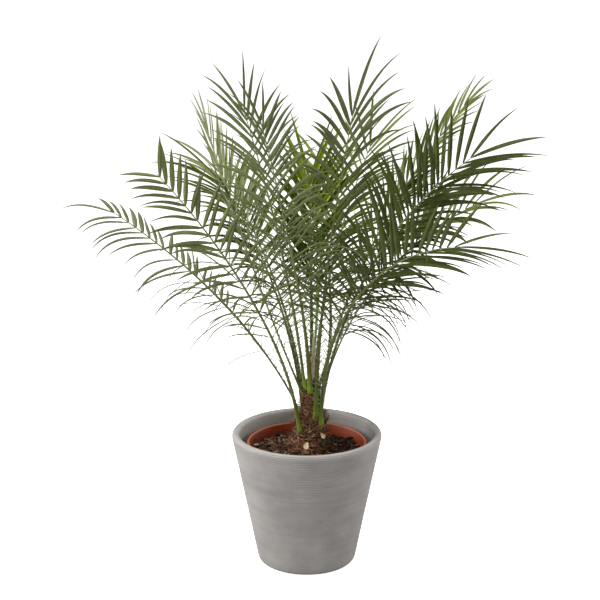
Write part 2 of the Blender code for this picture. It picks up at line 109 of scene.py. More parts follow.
def between(tree, value, low, high, least=0.0, most=1.0):
    """A value that runs from least to most while another runs from low to high, and stops there."""
    inputs = {"Value": value, "From Min": low, "From Max": high, "To Min": least, "To Max": most}
    return add_node(tree, "MapRange", inputs).outputs["Result"]


def blotch_group():
    """Blotches: noise that runs between two colours. Height is the same noise."""
    tree = bpy.data.node_groups.new("blotches", "ShaderNodeTree")
    sockets = [("INPUT", "Vector", "Vector")]
    sockets += [("INPUT", name, "Float") for name in ("Scale", "Detail", "Low", "High")]
    sockets += [("INPUT", "Dark", "Color"), ("INPUT", "Light", "Color")]
    sockets += [("OUTPUT", "Colour", "Color"), ("OUTPUT", "Height", "Float")]
    for way, name, kind in sockets:
        tree.interface.new_socket(name, in_out=way, socket_type="NodeSocket" + kind)
    given = tree.nodes.new("NodeGroupInput").outputs
    put = tree.nodes.new("NodeGroupOutput").inputs
    wanted = {name: given[name] for name in ("Vector", "Scale", "Detail")}
    noise = add_node(tree, "TexNoise", wanted).outputs["Fac"]
    share = between(tree, noise, given["Low"], given["High"])
    tree.links.new(mixed(tree, share, given["Dark"], given["Light"]), put["Colour"])
    tree.links.new(noise, put["Height"])
    return tree


BLOTCHES = blotch_group()


def blotches(tree, where, scale, dark, light, stretch=(1, 1, 1), detail=3.0, low=0.35, high=0.65):
    """Colour and height of the blotches at those coordinates, stretched along the axes."""
    placed = add_node(tree, "Mapping", {"Vector": where, "Scale": stretch}).outputs["Vector"]
    inputs = {"Vector": placed, "Scale": scale, "Detail": detail, "Low": low, "High": high}
    inputs |= {"Dark": dark, "Light": light}
    made = add_node(tree, "Group", inputs, node_tree=BLOTCHES).outputs
    return made["Colour"], made["Height"]


def new_material(name, colour, roughness, gloss=0.5):
    """A material of one colour, roughness and gloss, its nodes, its shader and its coordinates."""
    material = bpy.data.materials.new(name)
    material.use_nodes = True
    tree = material.node_tree
    shader = tree.nodes["Principled BSDF"]
    shader.inputs["Base Color"].default_value = colour
    shader.inputs["Roughness"].default_value = roughness
    shader.inputs["Specular IOR Level"].default_value = gloss
    where = add_node(tree, "TexCoord", {}).outputs["Object"]
    return material, tree, shader, where


def add_bump(tree, shader, height, depth):
    """Feeds a height to the shader's normal, over a bump that is already there."""
    before = [link.from_socket for link in shader.inputs["Normal"].links]
    inputs = {"Height": height, "Distance": depth, "Strength": 1.0}
    if before:
        inputs["Normal"] = before[0]
    tree.links.new(add_node(tree, "Bump", inputs).outputs["Normal"], shader.inputs["Normal"])


def cover(tree, shader, colour, height, depth):
    """Feeds a colour to the shader, and a height to its normal."""
    tree.links.new(colour, shader.inputs["Base Color"])
    add_bump(tree, shader, height, depth)


def painted_inside_light_and_shade(tree, where, height_up):
    """Painted light and shade on the planter's inside. 1 on the outside. On the inside it is more
    at the back and less at the right.
    """
    flat = add_node(tree, "VectorMath", {0: where, 1: (1, 1, 0)}, operation="MULTIPLY").outputs[0]
    radius = add_node(tree, "VectorMath", {0: flat}, operation="LENGTH").outputs["Value"]
    foot = PLANTER_RADIUS - PLANTER_SLOPE * PLANTER_HEIGHT
    wall = between(tree, height_up, 0, PLANTER_HEIGHT, foot, PLANTER_RADIUS)
    inwards = maths(tree, "SUBTRACT", wall, radius)
    lit = add_node(tree, "VectorMath", {0: where, 1: INSIDE_PAINTED_LIGHT_SLOPE}, operation="DOT_PRODUCT")
    tone = maths(tree, "ADD", lit.outputs["Value"], INSIDE_PAINTED_LIGHT_TONE)
    return between(tree, inwards, *INSIDE_DEPTHS, 1.0, tone)


def planter_material():
    """Cast grey mix: broad level patches, sharp fine rings, fine grain and a few pits, with a
    painted highlight on the lip and painted light and shade on the inside.
    """
    material, tree, shader, where = new_material("cast_mineral", PLANTER_LIGHT, 0.82)
    patches, _ = blotches(tree, where, 14, PLANTER_DARK, PLANTER_LIGHT, (1, 1, 1.7), 6, 0.28, 0.66)
    level, _ = blotches(tree, where, 3, (0.95, 0.95, 0.95, 1), (1.03, 1.03, 1.03, 1), (1, 1, 60))
    grain, grain_height = blotches(tree, where, 420, (0.93, 0.92, 0.91, 1), (1.05, 1.05, 1.05, 1))
    place = add_node(tree, "SeparateXYZ", {0: where}).outputs
    ring = maths(tree, "SINE", maths(tree, "MULTIPLY", place["Z"], 2 * math.pi / RING_PITCH))
    upwards = between(tree, place["Z"], 0.05, 0.25, 0.45, 1.0)
    forwards = between(tree, place["Y"], -0.135, -0.085, RING_FRONT, RING_SIDES)
    wander = add_node(tree, "TexNoise", {"Vector": where, "Scale": 9.0}).outputs["Fac"]
    clear = maths(tree, "MULTIPLY", upwards, forwards)
    clear = maths(tree, "MULTIPLY", clear, between(tree, wander, 0.30, 0.5))
    ring = maths(tree, "MULTIPLY", ring, clear)
    colour = shaded(tree, shaded(tree, patches, level), grain, 0.8)
    colour = shaded(tree, colour, between(tree, ring, -RING_FRONT, RING_FRONT, *RING_SHADES))
    # Painted highlight: the colour is made lighter over the top of the lip.
    edge = PLANTER_HEIGHT - 0.013, PLANTER_HEIGHT - 0.001
    colour = shaded(tree, colour, between(tree, place["Z"], *edge, 1.0, LIP_PAINTED_HIGHLIGHT))
    # Painted light and shade on the inside: lighter at the back, darker at the right.
    colour = shaded(tree, colour, painted_inside_light_and_shade(tree, where, place["Z"]))
    pits = add_node(tree, "TexVoronoi", {"Vector": where, "Scale": 30.0})
    close = between(tree, pits.outputs["Distance"], 0.04, 0.07, 1.0, 0.0)
    chosen = add_node(tree, "SeparateColor", {0: pits.outputs["Color"]}).outputs[0]
    pit = maths(tree, "MULTIPLY", close, between(tree, chosen, 0.55, 0.56))
    cover(tree, shader, mixed(tree, pit, colour, PIT_COLOUR), ring, 0.00012)
    add_bump(tree, shader, grain_height, 0.00012)
    add_bump(tree, shader, between(tree, pit, 0, 1, 1, 0), 0.0006)
    return material


def turns(count):
    """Angles evenly spaced all the way round."""
    return np.linspace(0, 2 * math.pi, count, endpoint=False)


def round_about(azimuth):
    """Level directions outwards at those azimuths, and sideways, anticlockwise from them."""
    turn = np.radians(azimuth)
    cos, sin, none = np.cos(turn), np.sin(turn), 0 * turn
    return np.stack([cos, sin, none], -1), np.stack([-sin, cos, none], -1)


def arc(centre, radius, start, end, count):
    """Points (r, z) of an arc, both ends included."""
    turn = np.radians(np.linspace(start, end, count))
    return np.stack([centre[0] + radius * np.cos(turn), centre[1] + radius * np.sin(turn)], 1)


def line(start, end, count):
    """Points evenly spaced between two, without the last."""
    share = np.linspace(0, 1, count, endpoint=False)[:, None]
    return np.array(start) * (1 - share) + np.array(end) * share


def turned(profile, sides):
    """Grid of a turned shape: each (r, z) point of the profile swept round the upright axis."""
    turn = turns(sides)
    flat = profile[:, :1] * np.cos(turn), profile[:, :1] * np.sin(turn)
    return np.stack([*flat, np.repeat(profile[:, 1:], sides, 1)], -1)


def closed_mesh(name, grid, uv=None, looks=None, sharp=40):
    """An object of closed tubes through a grid of points: tubes by rows by columns by three.

    Each cell is a quad, the last column joins the first, and each tube's first and last row are
    filled with one face. Columns run anticlockwise about the way from the first row to the last.
    looks gives the material number of each tube, row and column, and uv a pair for each point.
    """
    grid = grid.reshape(-1, *grid.shape[-3:])
    count, rows, columns = grid.shape[:3]
    index = np.arange(count * rows * columns).reshape(count, rows, columns)
    after = np.roll(index, -1, 2)
    cells = np.stack([index[:, :-1], after[:, :-1], after[:, 1:], index[:, 1:]], -1)
    corners = np.concatenate([cells.ravel(), index[:, 0, ::-1].ravel(), index[:, -1].ravel()])
    cell_starts = np.arange(cells.size // 4) * 4
    cap_starts = cells.size + np.arange(2 * count) * columns
    mesh = bpy.data.meshes.new(name)
    mesh.vertices.add(index.size)
    mesh.vertices.foreach_set("co", grid.astype(np.float32).ravel())
    mesh.loops.add(len(corners))
    mesh.loops.foreach_set("vertex_index", corners.astype(np.int32))
    starts = np.concatenate([cell_starts, cap_starts])
    mesh.polygons.add(len(starts))
    mesh.polygons.foreach_set("loop_start", starts.astype(np.int32))
    if looks is not None:
        looks = np.broadcast_to(looks, (count, rows, columns))
        ends = [looks[:, 0, 0].ravel(), looks[:, -1, 0].ravel()]
        numbers = np.concatenate([looks[:, :-1].ravel(), *ends]).astype(np.int32)
        mesh.polygons.foreach_set("material_index", numbers)
    mesh.update(calc_edges=True)
    if uv is not None:
        layer = mesh.uv_layers.new(name="strip")
        layer.uv.foreach_set("vector", uv.reshape(-1, 2)[corners].astype(np.float32).ravel())
    mesh.shade_smooth()
    mesh.set_sharp_from_angle(angle=math.radians(sharp))
    made = bpy.data.objects.new(name, mesh)
    bpy.context.scene.collection.objects.link(made)
    return made


def mark_points(piece, name, values):
    """Stores a value for each point of a mesh, which its material reads by that name."""
    piece.data.attributes.new(name, "FLOAT", "POINT")
    piece.data.attributes[name].data.foreach_set("value", values.ravel())


def add_piece(name, grid, materials, slot, *nodes, **form):
    """A closed mesh with its materials, its body and the nodes that it stands for. The slot is not
    used.
    """
    piece = closed_mesh(name, grid, **form)
    for material in materials:
        piece.data.materials.append(material)
    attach(piece, "root")
    if nodes:
        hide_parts(*nodes)
    return piece


def planter_profile():
    """Underside, eased foot, straight wall, half-round lip, then the inside down to the floor."""
    half = PLANTER_WALL / 2
    tilt = math.degrees(math.atan(PLANTER_SLOPE))
    foot_radius = PLANTER_RADIUS - PLANTER_SLOPE * (PLANTER_HEIGHT - PLANTER_FOOT_EASE)
    ease = PLANTER_FOOT_EASE
    foot = arc((foot_radius - ease, ease), ease, -90, -tilt, 14)
    lip = arc((PLANTER_RADIUS - half, PLANTER_HEIGHT - half), half, -tilt, 180 - tilt, 18)
    floor_radius = PLANTER_RADIUS - PLANTER_SLOPE * (PLANTER_HEIGHT - PLANTER_FLOOR) - PLANTER_WALL
    inside = (floor_radius, PLANTER_FLOOR)
    wall = line(foot[-1], lip[0], 30)[1:]
    parts = [line((AXIS_HOLE, 0), foot[0], 4), foot, wall, lip, line(lip[-1], inside, 24)[1:]]
    return np.concatenate([*parts, line(inside, (AXIS_HOLE, PLANTER_FLOOR), 5)])


planter_grid = turned(planter_profile(), PLANTER_SIDES)
add_piece("planter_body", planter_grid, [planter_material()], "planter", "planter", sharp=35)


# Nursery pot: thin moulded plastic, orange brown, with a rolled lip turned outwards and down.
# It stands on the planter's floor and holds the potting mix.
NURSERY_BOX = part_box("nursery_pot")
NURSERY_HEIGHT = NURSERY_BOX[1].z
NURSERY_RADIUS = NURSERY_BOX[1].x
NURSERY_FOOT = NURSERY_BOX[0].z
NURSERY_FOOT_RADIUS = 0.0765
NURSERY_WALL = 0.002
NURSERY_LIP = 0.005
NURSERY_LIP_DROP = 0.012
NURSERY_SIDES = 144
NURSERY_COLOUR = (0.260, 0.042, 0.010, 1)
NURSERY_DARK = (0.200, 0.030, 0.007, 1)
# Painted highlight along the top of the lip:
NURSERY_RIM_HIGHLIGHT = (0.44, 0.125, 0.055, 1)
NURSERY_SCUFF = (0.34, 0.080, 0.030, 1)


def nursery_radius(z):
    """Outer radius of the nursery pot's wall at height z, a straight taper."""
    share = (z - NURSERY_FOOT) / (NURSERY_HEIGHT - NURSERY_FOOT)
    return NURSERY_FOOT_RADIUS + (NURSERY_RADIUS - NURSERY_LIP - NURSERY_FOOT_RADIUS) * share


def nursery_profile():
    """Underside, wall, the lip's skirt and its rounded top, then the inside down to the floor."""
    skirt = NURSERY_HEIGHT - NURSERY_LIP_DROP
    lip = NURSERY_LIP / 2
    top = arc((NURSERY_RADIUS - lip, NURSERY_HEIGHT - lip), lip, 0, 165, 12)
    floor = NURSERY_FOOT + NURSERY_WALL
    inside = (nursery_radius(floor) - NURSERY_WALL, floor)
    outer = line((nursery_radius(NURSERY_FOOT), NURSERY_FOOT), (nursery_radius(skirt), skirt), 10)
    parts = [line((AXIS_HOLE, NURSERY_FOOT), outer[0], 3), outer]
    parts += [line((nursery_radius(skirt), skirt), (NURSERY_RADIUS - 0.0006, skirt), 3)]
    parts += [line((NURSERY_RADIUS - 0.0003, skirt), top[0], 4), top, line(top[-1], inside, 14)[1:]]
    return np.concatenate([*parts, line(inside, (AXIS_HOLE, floor), 4)])


def nursery_material():
    """Moulded plastic: an even colour, faint level draw marks and pale scuffs, with a painted
    highlight along the top of the lip.
    """
    material, tree, shader, where = new_material("orange_plastic", NURSERY_COLOUR, 0.5, 0.25)
    base, height = blotches(tree, where, 16, NURSERY_DARK, NURSERY_COLOUR, (1, 1, 3))
    scuffs, _ = blotches(tree, where, 46, base, NURSERY_SCUFF, (1, 1, 5), 5, 0.60, 0.80)
    height_up = add_node(tree, "SeparateXYZ", {0: where}).outputs["Z"]
    # Painted highlight: the top of the lip takes a lighter colour.
    rim_highlight = between(tree, height_up, NURSERY_HEIGHT - 0.0030, NURSERY_HEIGHT - 0.0010)
    cover(tree, shader, mixed(tree, rim_highlight, scuffs, NURSERY_RIM_HIGHLIGHT), height, 0.0006)
    return material


nursery_look = [nursery_material()]
nursery_grid = turned(nursery_profile(), NURSERY_SIDES)
add_piece("nursery_pot_shell", nursery_grid, nursery_look, "nursery_pot", "nursery_pot", sharp=35)


# Potting mix: peat and composted bark, rough and loose, filling the nursery pot to just under
# its lip. Chips of bark, splinters and pale roots lie on it; the chips at the right carry painted
# shade.
SOIL_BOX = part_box("soil")
SOIL_RADIUS = SOIL_BOX[1].x
SOIL_TOP = SOIL_BOX[1].z
SOIL_EDGE = SOIL_TOP - 0.0025
SOIL_SEAT = 0.052
SOIL_RINGS = 96
SOIL_SIDES = 200
SOIL_DARK = (0.014, 0.006, 0.003, 1)
SOIL_LIGHT = (0.120, 0.060, 0.034, 1)
LITTER_INNER = 0.034
Litter = namedtuple("Litter", "count lengths widths lift sag rows columns seed flatness")
CHIPS = Litter(1000, (0.010, 0.042), (0.0028, 0.0100), (-0.15, 0.75), 0.12, 5, 5, 21, 0.35)
SPLINTERS = Litter(190, (0.010, 0.034), (0.0012, 0.0030), (-0.10, 0.30), 0.10, 6, 4, 23, 0.35)
ROOTS = Litter(40, (0.022, 0.050), (0.0011, 0.0019), (0.05, 0.30), 0.16, 12, 6, 27, 0.9)
CHIP_SHARES = (0.34, 0.40, 0.26)
# Painted shade: chips right of this x take the next darker bark colour.
PAINTED_SHADE_FROM = 0.035


def waves(x, y, random, count, lengths, depth):
    """A rough surface: the sum of waves of random direction, length and phase over x and y."""
    turn = random.uniform(0, 2 * math.pi, count)
    rate = 2 * math.pi / random.uniform(*lengths, count)
    phase = random.uniform(0, 2 * math.pi, count)
    flat = np.multiply.outer(x, np.cos(turn) * rate) + np.multiply.outer(y, np.sin(turn) * rate)
    return depth * np.sin(flat + phase).sum(-1) / math.sqrt(count)


def soil_height(x, y):
    """Height of the mix: a low mound towards the trunk, with lumps and grains on it."""
    random = np.random.default_rng(5)
    radii, tops = (0.030, SOIL_SEAT, SOIL_RADIUS), (SOIL_TOP + 0.001, SOIL_TOP, SOIL_EDGE)
    mound = np.interp(np.hypot(x, y), radii, tops)
    lumps = waves(x, y, random, 14, (0.018, 0.040), 0.0024)
    grains = waves(x, y, random, 40, (0.0035, 0.009), 0.0009)
    return mound + lumps + grains


def soil_grid():
    """Rings from the axis out to the wall, lifted to the mix's height, then down to the floor."""
    side = [SOIL_RADIUS, NURSERY_FOOT_RADIUS - 0.003, 0.001]
    radii = np.concatenate([np.linspace(0.001, SOIL_RADIUS, SOIL_RINGS), side])
    turn = turns(SOIL_SIDES)
    x, y = radii[:, None] * np.cos(turn), radii[:, None] * np.sin(turn)
    z = soil_height(x, y)
    z[-3] = SOIL_EDGE - 0.006
    z[-2:] = SOIL_BOX[0].z
    return np.stack([x, y, z], -1)[::-1]


def grainy_material(name, dark, light, roughness=0.95):
    """Peat, bark or fibre: mottled from dark to light, with grains that stand up."""
    material, tree, shader, where = new_material(name, dark, roughness, 0.25)
    mottle = blotches(tree, where, 170, dark, light, detail=6, low=0.38, high=0.72)
    cover(tree, shader, *mottle, 0.0022)
    return material


def unit(vectors):
    """The same directions, all of length one."""
    return vectors / np.maximum(np.linalg.norm(vectors, axis=-1, keepdims=True), 1e-9)


def paths(start, heading, length, sag, rows):
    """Points of curved strips, strips by rows by three.

    Each step goes on along the heading, which turns down a little more at every step by the sag.
    """
    heading = unit(heading)
    points = [start]
    for step in range(rows - 1):
        heading = unit(heading - sag[:, None] * step * np.array([0, 0, 1]))
        points.append(points[-1] + heading * length[:, None] / (rows - 1))
    return np.stack(points, 1)


def frames(points, face, twist):
    """Side and face of each strip at each point.

    The face is the given one made square to the path, and twists evenly from foot to tip.
    """
    along = unit(np.gradient(points, axis=1))
    face = np.broadcast_to(face[:, None], points.shape)
    face = unit(face - along * (face * along).sum(-1, keepdims=True))
    side = np.cross(face, along)
    turn = twist[:, None, None] * np.linspace(0, 1, points.shape[1])[None, :, None]
    cos, sin = np.cos(turn), np.sin(turn)
    return side * cos + face * sin, face * cos - side * sin


def strips(points, face, width, depth, columns):
    """Grid of strips with an oval section of that many columns, width and depth given by row."""
    side, face = frames(points, face, np.zeros(len(points)))
    turn = turns(columns)
    across = width[..., None, None] / 2 * np.cos(turn)[:, None] * side[:, :, None]
    up = depth[..., None, None] / 2 * np.sin(turn)[:, None] * face[:, :, None]
    return points[:, :, None] + across + up


def litter_grid(litter):
    """Grid of loose strips lying on the mix, clear of the trunk, each with its own size and lie."""
    random, count = np.random.default_rng(litter.seed), litter.count
    length = random.uniform(*litter.lengths, count)
    turn, rise = random.uniform(0, 2 * math.pi, count), random.uniform(*litter.lift, count)
    heading = unit(np.stack([np.cos(turn), np.sin(turn), rise], 1))
    radius = np.sqrt(random.uniform(LITTER_INNER**2, (SOIL_RADIUS - 0.005) ** 2, count))
    turn = random.uniform(0, 2 * math.pi, count)
    x, y = radius * np.cos(turn), radius * np.sin(turn)
    middle = np.stack([x, y, soil_height(x, y)], 1)
    start = middle - heading * length[:, None] / 2 + np.array([0, 0, 0.0006])
    points = paths(start, heading, length, random.uniform(0, litter.sag, count), litter.rows)
    face = unit(np.array([0, 0, 1]) + random.normal(0, 0.35, (count, 3)))
    taper = np.interp(np.linspace(0, 1, litter.rows), (0, 0.15, 0.8, 1), (0.5, 1, 0.9, 0.35))
    width = random.uniform(*litter.widths, count)[:, None] * taper
    return strips(points, face, width, width * litter.flatness, litter.columns)


PEAT = grainy_material("peat", SOIL_DARK, SOIL_LIGHT)
add_piece("potting_mix", soil_grid(), [PEAT], "soil", "soil", sharp=80)

CHIP_LOOKS = (
    grainy_material("dark_bark", (0.010, 0.004, 0.002, 1), (0.052, 0.024, 0.013, 1)),
    grainy_material("brown_bark", (0.062, 0.027, 0.013, 1), (0.170, 0.082, 0.045, 1)),
    grainy_material("grey_bark", (0.130, 0.082, 0.055, 1), (0.330, 0.230, 0.160, 1)),
)
chip_grid = litter_grid(CHIPS)
chip_looks = np.random.default_rng(22).choice(3, CHIPS.count, p=CHIP_SHARES)
# Painted shade: chips towards the right of the mix take the next darker bark colour.
chip_looks[chip_grid[:, 2, 0, 0] > PAINTED_SHADE_FROM] -= 1
chip_looks = np.maximum(chip_looks, 0)[:, None, None]
add_piece("bark_chips", chip_grid, CHIP_LOOKS, "soil", looks=chip_looks, sharp=30)

PALE_WOOD = grainy_material("pale_wood", (0.16, 0.10, 0.06, 1), (0.42, 0.30, 0.19, 1))
add_piece("splinters", litter_grid(SPLINTERS), [PALE_WOOD], "soil", sharp=50)

ROOT_SKIN = grainy_material("root_skin", (0.30, 0.22, 0.15, 1), (0.62, 0.50, 0.38, 1), 0.8)
add_piece("pale_roots", litter_grid(ROOTS), [ROOT_SKIN], "soil", sharp=80)


# Trunk: a short palm stem, swollen at its foot, under a mat of brown fibre and the stumps of old
# leaves, which spiral round it. It grows out of the mix and leans a little to the right.
Frond = namedtuple(
    "Frond",
    "name foot_azimuth tip_azimuth foot_height foot_lean tip_lean bend length roll"
    " leaflet droop left_share last_share opening tip_angle tint",
)
FROND_ROWS = (
    (192, 188, 0.086, 22.5, 54.5, 0.75, 0.572, 95, 0.104, 1.2, 0.42, 0.9, 1.0, 12, "thin"),
    (236, 207, 0.050, 12.5, 41.5, 0.75, 0.654, 68, 0.124, 0.6, 1.0, 0.56, 1.12, 44, "front"),
    (309, 317, 0.062, -2.5, 79.5, 1.0, 0.602, -45, 0.148, 0.5, 1.0, 0.95, 1.0, 8, "deep"),
    (290, 305, 0.078, 3.5, 17, 0.8, 0.657, -10, 0.116, 0.8, 1.5, 0.86, 0.95, 3, "front"),
    (328, 324, 0.092, 8.5, 53, 0.95, 0.676, -55, 0.146, 0.5, 1.0, 1.0, 1.0, 5, "deep"),
    (258, 245, 0.128, 13, 27, 0.6, 0.639, 0, 0.136, 0.7, 1.0, 0.75, 0.85, 10, "grey"),
    (215, 216, 0.136, 7, 19.5, 0.8, 0.605, 40, 0.128, 0.7, 1.0, 0.85, 0.85, 8, "grey"),
    (25, 22, 0.142, 15.5, 44.5, 1.0, 0.637, 25, 0.104, 0.5, 1.0, 0.75, 0.5, 6, "back"),
    (100, 95, 0.160, 2, 12, 1.0, 0.400, 0, 0.126, 0.2, 1.0, 1.0, 0.7, 16, "young"),
    (170, 158, 0.118, 23, 18.5, 1.1, 0.562, 0, 0.124, 0.5, 1.0, 0.75, 0.55, 8, "pale"),
    (75, 60, 0.108, 10, 46, 1.0, 0.545, 0, 0.134, 0.7, 1.0, 1.0, 1.0, 16, "back"),
    (146, 143, 0.098, 8, 45, 1.0, 0.500, -20, 0.130, 0.7, 1.0, 1.15, 1.0, 16, "back"),
    (352, 361, 0.112, 11, 63, 1.0, 0.520, 20, 0.128, 0.8, 1.0, 1.0, 1.0, 16, "deep"),
    (52, 94, 0.070, 12, 58, 1.0, 0.550, 0, 0.132, 0.8, 1.0, 1.0, 1.0, 16, "bright"),
    (112, 124, 0.066, 16, 58, 1.0, 0.560, 0, 0.130, 0.9, 1.0, 1.0, 1.0, 16, "green"),
)
FRONDS = [Frond(f"frond_{number:02d}", *row) for number, row in enumerate(FROND_ROWS, 1)]
TRUNK_HEIGHT = 0.200
TRUNK_FOOT_X = 0.004
TRUNK_LEAN = 0.055
TRUNK_HEIGHTS = (-0.010, 0.0, 0.020, 0.053, 0.075, 0.090, 0.120, 0.150, 0.180, 0.200)
TRUNK_RADII = (0.045, 0.043, 0.039, 0.0305, 0.0245, 0.0200, 0.0155, 0.0125, 0.009, 0.005)
GOLDEN_ANGLE = 137.5
BOOT_COUNT = 17
BOOT_FIRST_AZIMUTH = 262
BOOT_FIRST_HEIGHT = 0.016
BOOT_PITCH = 0.0062
BOOT_SPACE = 28
BOOT_HEIGHT = 0.018
BOOT_HALF_WIDTH = 0.009
BOOT_DEPTH = 0.0062
BOOT_CUT = 0.003
FIBRE_WAVES = 34
FIBRE_RATES = (260, 1500)
FIBRE_RELIEF = 0.0009
TRUNK_DARK = (0.050, 0.022, 0.011, 1)
TRUNK_BROWN = (0.420, 0.205, 0.100, 1)
TRUNK_TAN = (0.700, 0.460, 0.260, 1)
TRUNK_ROWS = 230
TRUNK_COLUMNS = 240


def trunk_axis(height):
    """Points of the leaning axis at heights above the mix, three values in the last place."""
    height = np.asarray(height, float)
    x, z = TRUNK_FOOT_X + TRUNK_LEAN * height, SOIL_TOP + 0.0003 + height
    return np.stack([x, 0 * height, z], -1)


def turn_from(azimuth, other):
    """Degrees from one azimuth to another, from -180 to 180."""
    return (other - azimuth + 180) % 360 - 180


def boot_places():
    """Azimuth and height of each old leaf's stump: under each frond, and on a rising spiral."""
    feet = [(frond.foot_azimuth, frond.foot_height) for frond in FRONDS]
    places = [(azimuth, height - BOOT_CUT) for azimuth, height in feet]
    for number in range(BOOT_COUNT):
        azimuth = (BOOT_FIRST_AZIMUTH + number * GOLDEN_ANGLE) % 360
        height = BOOT_FIRST_HEIGHT + number * BOOT_PITCH
        near = [foot for foot in feet if abs(turn_from(foot[0], azimuth)) < BOOT_SPACE]
        if all(height < foot_height - 0.006 for _, foot_height in near):
            places.append((azimuth, height))
    return places


def trunk_surface(azimuth, height):
    """Radius and hollowness of the trunk: its taper, the stumps' wedges and the matted fibre.

    A stump swells towards its cut top and to its middle. The fibre is a sum of sharp-crested
    waves that run nearly level, and the hollowness is how far a place lies below the crests.
    """
    plain = np.interp(height, TRUNK_HEIGHTS, TRUNK_RADII)
    swell = np.zeros(np.broadcast(azimuth, height).shape)
    for boot_azimuth, cut in boot_places():
        turn = np.radians(turn_from(boot_azimuth, azimuth))
        across = np.clip(1 - (np.abs(turn) * plain / BOOT_HALF_WIDTH) ** 2, 0, 1)
        rise = (height - cut + BOOT_HEIGHT) / BOOT_HEIGHT
        rise = np.where(height > cut, 1 - (height - cut) / BOOT_CUT, rise)
        swell = np.maximum(swell, BOOT_DEPTH * np.sqrt(across) * np.clip(rise, 0, 1))
    random = np.random.default_rng(31)
    fibre = np.zeros_like(swell)
    for rate in random.uniform(*FIBRE_RATES, FIBRE_WAVES):
        around = random.integers(1, 12) * np.radians(azimuth)
        fibre += 1 - 2 * np.abs(np.sin(around + rate * height + random.uniform(0, 7)))
    fibre /= math.sqrt(FIBRE_WAVES)
    thick = np.clip(plain / 0.02, 0.3, 1.6)
    radius = plain + swell * np.clip(plain / 0.020, 0, 1) + FIBRE_RELIEF * fibre * thick
    return radius, 0.5 - 0.5 * fibre


def fibre_material():
    """Palm fibre: brown with tan strands, with painted shade in the hollows, roughened by fine
    strands.
    """
    material, tree, shader, where = new_material("palm_fibre", TRUNK_BROWN, 0.9, 0.2)
    colour, _ = blotches(tree, where, 60, TRUNK_BROWN, TRUNK_TAN, (1, 1, 3), 5, 0.42, 0.74)
    patches, _ = blotches(tree, where, 26, TRUNK_DARK, colour, (1, 1, 1), 3, 0.28, 0.52)
    thin, thick = (0.55, 0.5, 0.46, 1), (1.25, 1.2, 1.15, 1)
    strands, height = blotches(tree, where, 240, thin, thick, (1, 1, 3), 4)
    # Painted shade: places deep in the fibre's hollows are darkened towards TRUNK_DARK.
    hollow = add_node(tree, "Attribute", {}, attribute_name="hollow").outputs["Fac"]
    hollow = between(tree, hollow, 0.80, 1.35)
    colour = mixed(tree, hollow, shaded(tree, patches, strands), TRUNK_DARK)
    cover(tree, shader, colour, height, 0.0016)
    return material


def on_trunk(azimuth, height, proud=0.0):
    """Points on the trunk's surface, and the outward directions there."""
    outward, _ = round_about(azimuth)
    radius, _ = trunk_surface(azimuth, height)
    return trunk_axis(height) + (radius + proud)[..., None] * outward, outward


heights = np.linspace(-0.008, TRUNK_HEIGHT, TRUNK_ROWS)
azimuths = np.arange(TRUNK_COLUMNS) * 360 / TRUNK_COLUMNS
heights, azimuths = np.meshgrid(heights, azimuths, indexing="ij")
trunk_grid, _ = on_trunk(azimuths, heights)
trunk = add_piece("trunk_skin", trunk_grid, [fibre_material()], "trunk", "trunk", sharp=70)
mark_points(trunk, "hollow", trunk_surface(azimuths, heights)[1])


# Fibre: loose brown strands of the old leaf sheaths, lying round the trunk and fraying out of it.
# Ragged tufts and broader flaps stand out at the right and the left, where sheaths have torn.
FIBRE_LOOKS = (
    grainy_material("dark_fibre", (0.030, 0.013, 0.008, 1), (0.100, 0.045, 0.024, 1)),
    grainy_material("brown_fibre", (0.150, 0.062, 0.030, 1), (0.350, 0.170, 0.086, 1)),
    grainy_material("tan_fibre", (0.340, 0.195, 0.105, 1), (0.600, 0.400, 0.240, 1)),
)
FIBRES = 3600
FIBRE_TOP = 0.150
FIBRE_REACHES = (0.10, 0.55)
FIBRE_LENGTHS = (0.006, 0.020)
FIBRE_WIDTHS = (0.0005, 0.0014)
FIBRE_SHARES = (0.28, 0.48, 0.24)
Tuft = namedtuple("Tuft", "azimuth spread height reach rise count length width")
TUFTS = (
    Tuft(344, 18, (0.056, 0.080), 0.75, 1.1, 60, (0.010, 0.022), (0.0006, 0.0016)),
    Tuft(342, 7, (0.044, 0.058), 0.55, 1.7, 9, (0.020, 0.031), (0.0030, 0.0075)),
    Tuft(203, 14, (0.078, 0.092), 0.8, 0.9, 30, (0.010, 0.022), (0.0005, 0.0012)),
    Tuft(206, 8, (0.058, 0.070), 0.5, 1.6, 5, (0.014, 0.022), (0.0030, 0.0055)),
    Tuft(20, 50, (0.050, 0.080), 0.6, 1.0, 50, (0.008, 0.016), (0.0006, 0.0022)),
    Tuft(300, 70, (0.086, 0.150), 0.35, 1.5, 120, (0.008, 0.020), (0.0006, 0.0018)),
    Tuft(255, 60, (0.010, 0.050), 0.30, 1.2, 26, (0.010, 0.020), (0.0025, 0.0050)),
)


def fibre_strips(azimuth, height, reach, rise, length, width, random):
    """Grid of strands that leave the trunk partly outwards, partly round it, partly upwards."""
    start, outward = on_trunk(azimuth, height, -0.0006)
    _, side = round_about(azimuth)
    count = len(azimuth)
    heading = outward * reach[:, None] + side * random.normal(0, 1, count)[:, None]
    heading[:, 2] += rise
    points = paths(start, unit(heading), length, random.uniform(-0.10, 0.16, count), 5)
    taper = np.array([1, 1, 0.85, 0.6, 0.25])
    return strips(points, outward, width[:, None] * taper, width[:, None] * taper * 0.5, 3)


